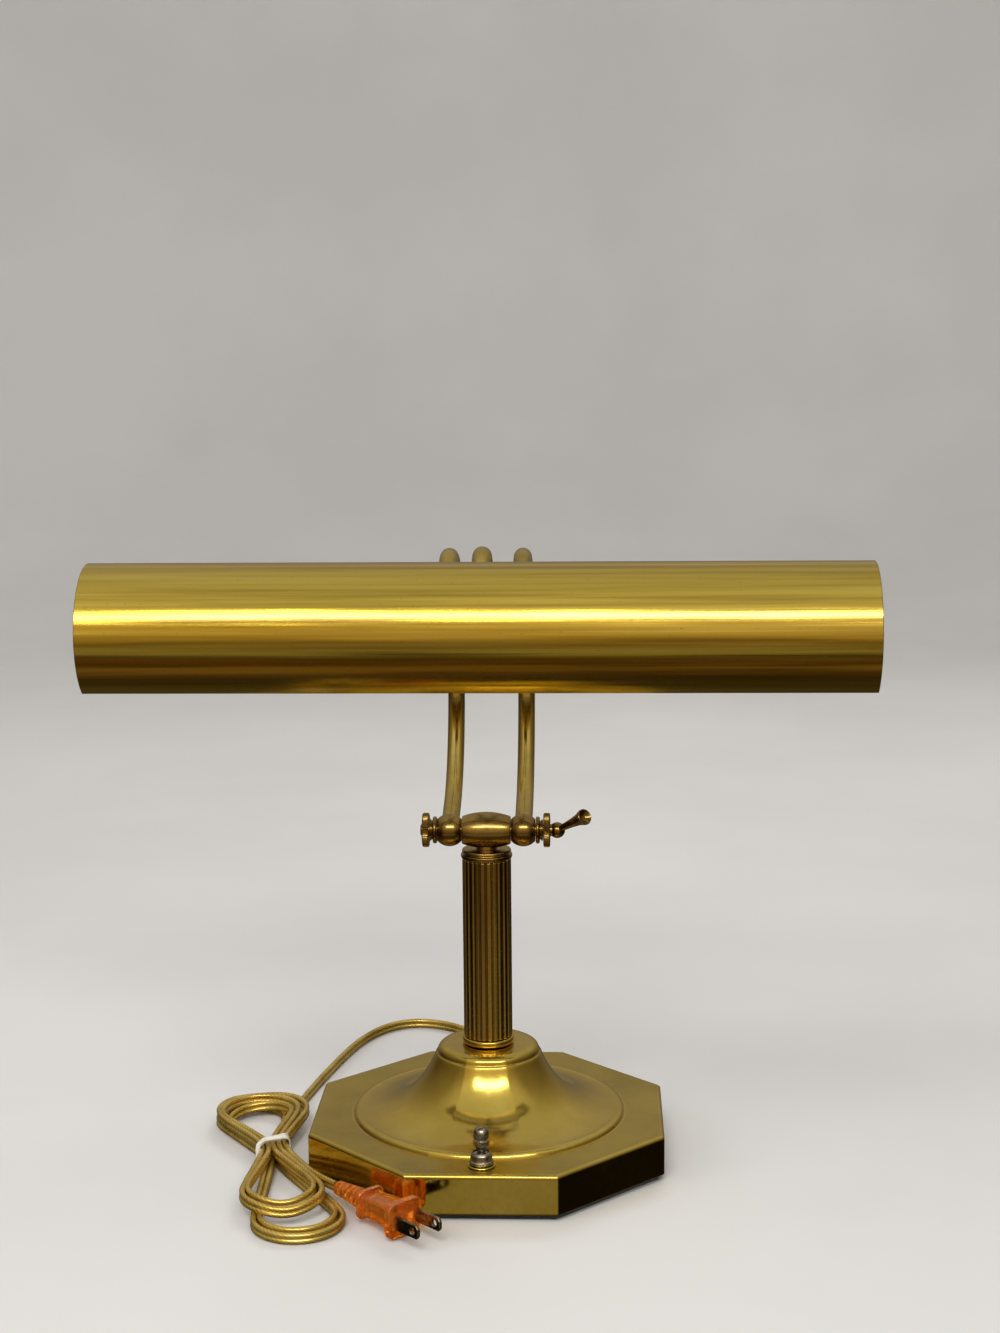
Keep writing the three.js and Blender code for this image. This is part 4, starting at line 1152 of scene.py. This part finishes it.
def make_bulbs(porcelain, nickel, glass, steel):
    at = shade_axis()[0]
    for side, sign in SIDES:
        stand_in("socket_" + side, mirrored(socket_mesh(), sign), at, porcelain)
        stand_in("bulb_cap_" + side, mirrored(bulb_cap_mesh(), sign), at, nickel)
        stand_in("bulb_glass_" + side, mirrored(bulb_mesh(), sign), at, glass)
    body = filleted([(0, -8), (8.4, -8, 0.3), (9, -7.4, 0.4), (9, 7.4, 0.4), (8.4, 8, 0.3), (0, 8)])
    stub = filleted([(0, 4), (6.6, 4), (6.6, 24.9, 0.3), (6.1, 25.4, 0.3), (0, 25.4)])
    mesh = joined(along_x(turned(body, 48)), pointing(turned(stub, 40), NECK_DIRECTION))
    stand_in("socket_cluster", mesh, at, steel)


# ------------------------------------------------------------------ the lamp

make_camera()
gold_vinyl = cord_vinyl()
rubber = clouded(
    "rubber_band", (300, 6, 0.55, 0.3), [(0.3, (0.60, 0.56, 0.49)), (0.6, (0.80, 0.77, 0.71))],
    (900, 4), 8e-5, Roughness=0.62, Subsurface_Weight=0.1, Subsurface_Scale=0.001)
amber_plastic = clouded(
    "amber_plastic", (160, 4, 0.55, 0.4),
    [(0.3, (0.88, 0.21, 0.011)), (0.55, (0.96, 0.29, 0.02)), (0.8, (1.0, 0.38, 0.045))],
    (300, 2), 1e-5, gloss=(0.10, 0.22), IOR=1.5, Transmission_Weight=0.85, Coat_Weight=0.6,
    Coat_Roughness=0.08)
dull_nickel = worn_nickel("blade_metal", (0.10, 0.08, 0.05), (0.48, 0.42, 0.32))

cord, cord_path = make_cord(gold_vinyl)
tie = make_tie(rubber)
plug_pieces = make_plug(amber_plastic, dull_nickel)
make_bushing(gold_vinyl)
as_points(cord_path)

make_studio()

polished_brass = brass(
    "polished_brass", (0.60, 0.42, 0.06), (0.72, 0.52, 0.08), (0.82, 0.62, 0.13), (0.10, 0.20))
satin_brass = brass(
    "satin_brass", (0.46, 0.32, 0.035), (0.58, 0.42, 0.05), (0.68, 0.50, 0.08), (0.26, 0.40),
    grain=(40, 900, 900))
brushed_brass = brass(
    "brushed_brass", (0.44, 0.29, 0.025), (0.72, 0.51, 0.06), (0.86, 0.65, 0.12), (0.12, 0.24),
    cloud_scale=(3, 170, 170), grain=(4, 1500, 1500), grain_depth=2.5e-5, wave=(4, 80, 80), wave_depth=8e-4)
tube_brass = brass(
    "tube_brass", (0.42, 0.27, 0.04), (0.60, 0.42, 0.08), (0.74, 0.55, 0.14), (0.08, 0.18), tarnish=0.2)
aged_brass = brass(
    "aged_brass", (0.20, 0.115, 0.02), (0.34, 0.21, 0.042), (0.50, 0.34, 0.08), (0.14, 0.28), tarnish=0.5)
# The column's flutes hold brown tarnish, and its upper half is darkened by a painted shadow of the shade.
column_brass = brass(
    "column_brass", (0.42, 0.26, 0.045), (0.60, 0.39, 0.075), (0.76, 0.54, 0.11), (0.14, 0.28),
    tarnish=0.15, cloud_scale=(110, 110, 9), shaded=flute_patina_and_painted_shadow)
bright_nickel = worn_nickel("worn_nickel", (0.13, 0.11, 0.08), (0.58, 0.54, 0.47))
steel = clouded(
    "zinc_steel", (200, 5), [(0.3, (0.36, 0.37, 0.38)), (0.7, (0.58, 0.58, 0.58))],
    (1200, 2), 6e-6, gloss=(0.32, 0.5), Metallic=1)
iron = clouded(
    "cast_iron", (260, 8, 0.7), [(0.3, (0.035, 0.034, 0.033)), (0.7, (0.11, 0.10, 0.095))],
    None, 3e-4, gloss=(0.7, 0.9), Metallic=0.6)
phenolic = clouded(
    "moulded_phenolic", (300, 4), [(0.3, (0.012, 0.010, 0.008)), (0.7, (0.035, 0.028, 0.022))],
    None, 2e-5, gloss=(0.35, 0.5))
porcelain = clouded(
    "glazed_porcelain", (90, 5), [(0.3, (0.70, 0.67, 0.60)), (0.7, (0.83, 0.81, 0.76))],
    (250, 2), 3e-5, Roughness=0.2, Coat_Weight=0.5, Coat_Roughness=0.08)
enamel = clouded(
    "white_enamel", (35, 6), [(0.3, (0.70, 0.68, 0.61)), (0.7, (0.82, 0.80, 0.75))],
    (700, 3), 2e-5, gloss=(0.32, 0.48), Coat_Weight=0.2)
frosted_glass = clouded(
    "frosted_glass", (240, 5), [(0.3, (0.84, 0.83, 0.79)), (0.7, (0.93, 0.92, 0.89))],
    (1500, 3), 1e-5, gloss=(0.34, 0.5), Transmission_Weight=0.25, IOR=1.45, Coat_Weight=0.3)

make_base_shell(polished_brass, satin_brass)
make_column(column_brass, aged_brass, polished_brass)
stand_in("lower_knuckle_barrel", knuckle_barrel(4.7, 11, -1), LOWER_KNUCKLE, aged_brass)
make_knuckle("lower", LOWER_KNUCKLE, aged_brass)
make_knuckle("upper", UPPER_KNUCKLE, aged_brass)
make_arms(tube_brass)
make_bolts(aged_brass, steel)
make_switch(bright_nickel, polished_brass)
make_shade(brushed_brass, satin_brass, enamel)
make_neck(tube_brass, aged_brass, steel)
make_bulbs(porcelain, bright_nickel, frosted_glass, steel)

# The CAD pieces that keep their shapes: the pad underneath and what is out of sight inside.
KEPT_PIECES = {
    "base_pad": dark_felt(), "base_weight": iron, "lamp_pipe": steel, "pipe_washer": steel,
    "pipe_nut": steel, "switch_body": phenolic, "switch_bushing": steel, "neck_nipple": steel,
    "inner_lead": gold_vinyl,
}
for node, material in KEPT_PIECES.items():
    for slot in frame["nodes"][node].material_slots:
        slot.material = material
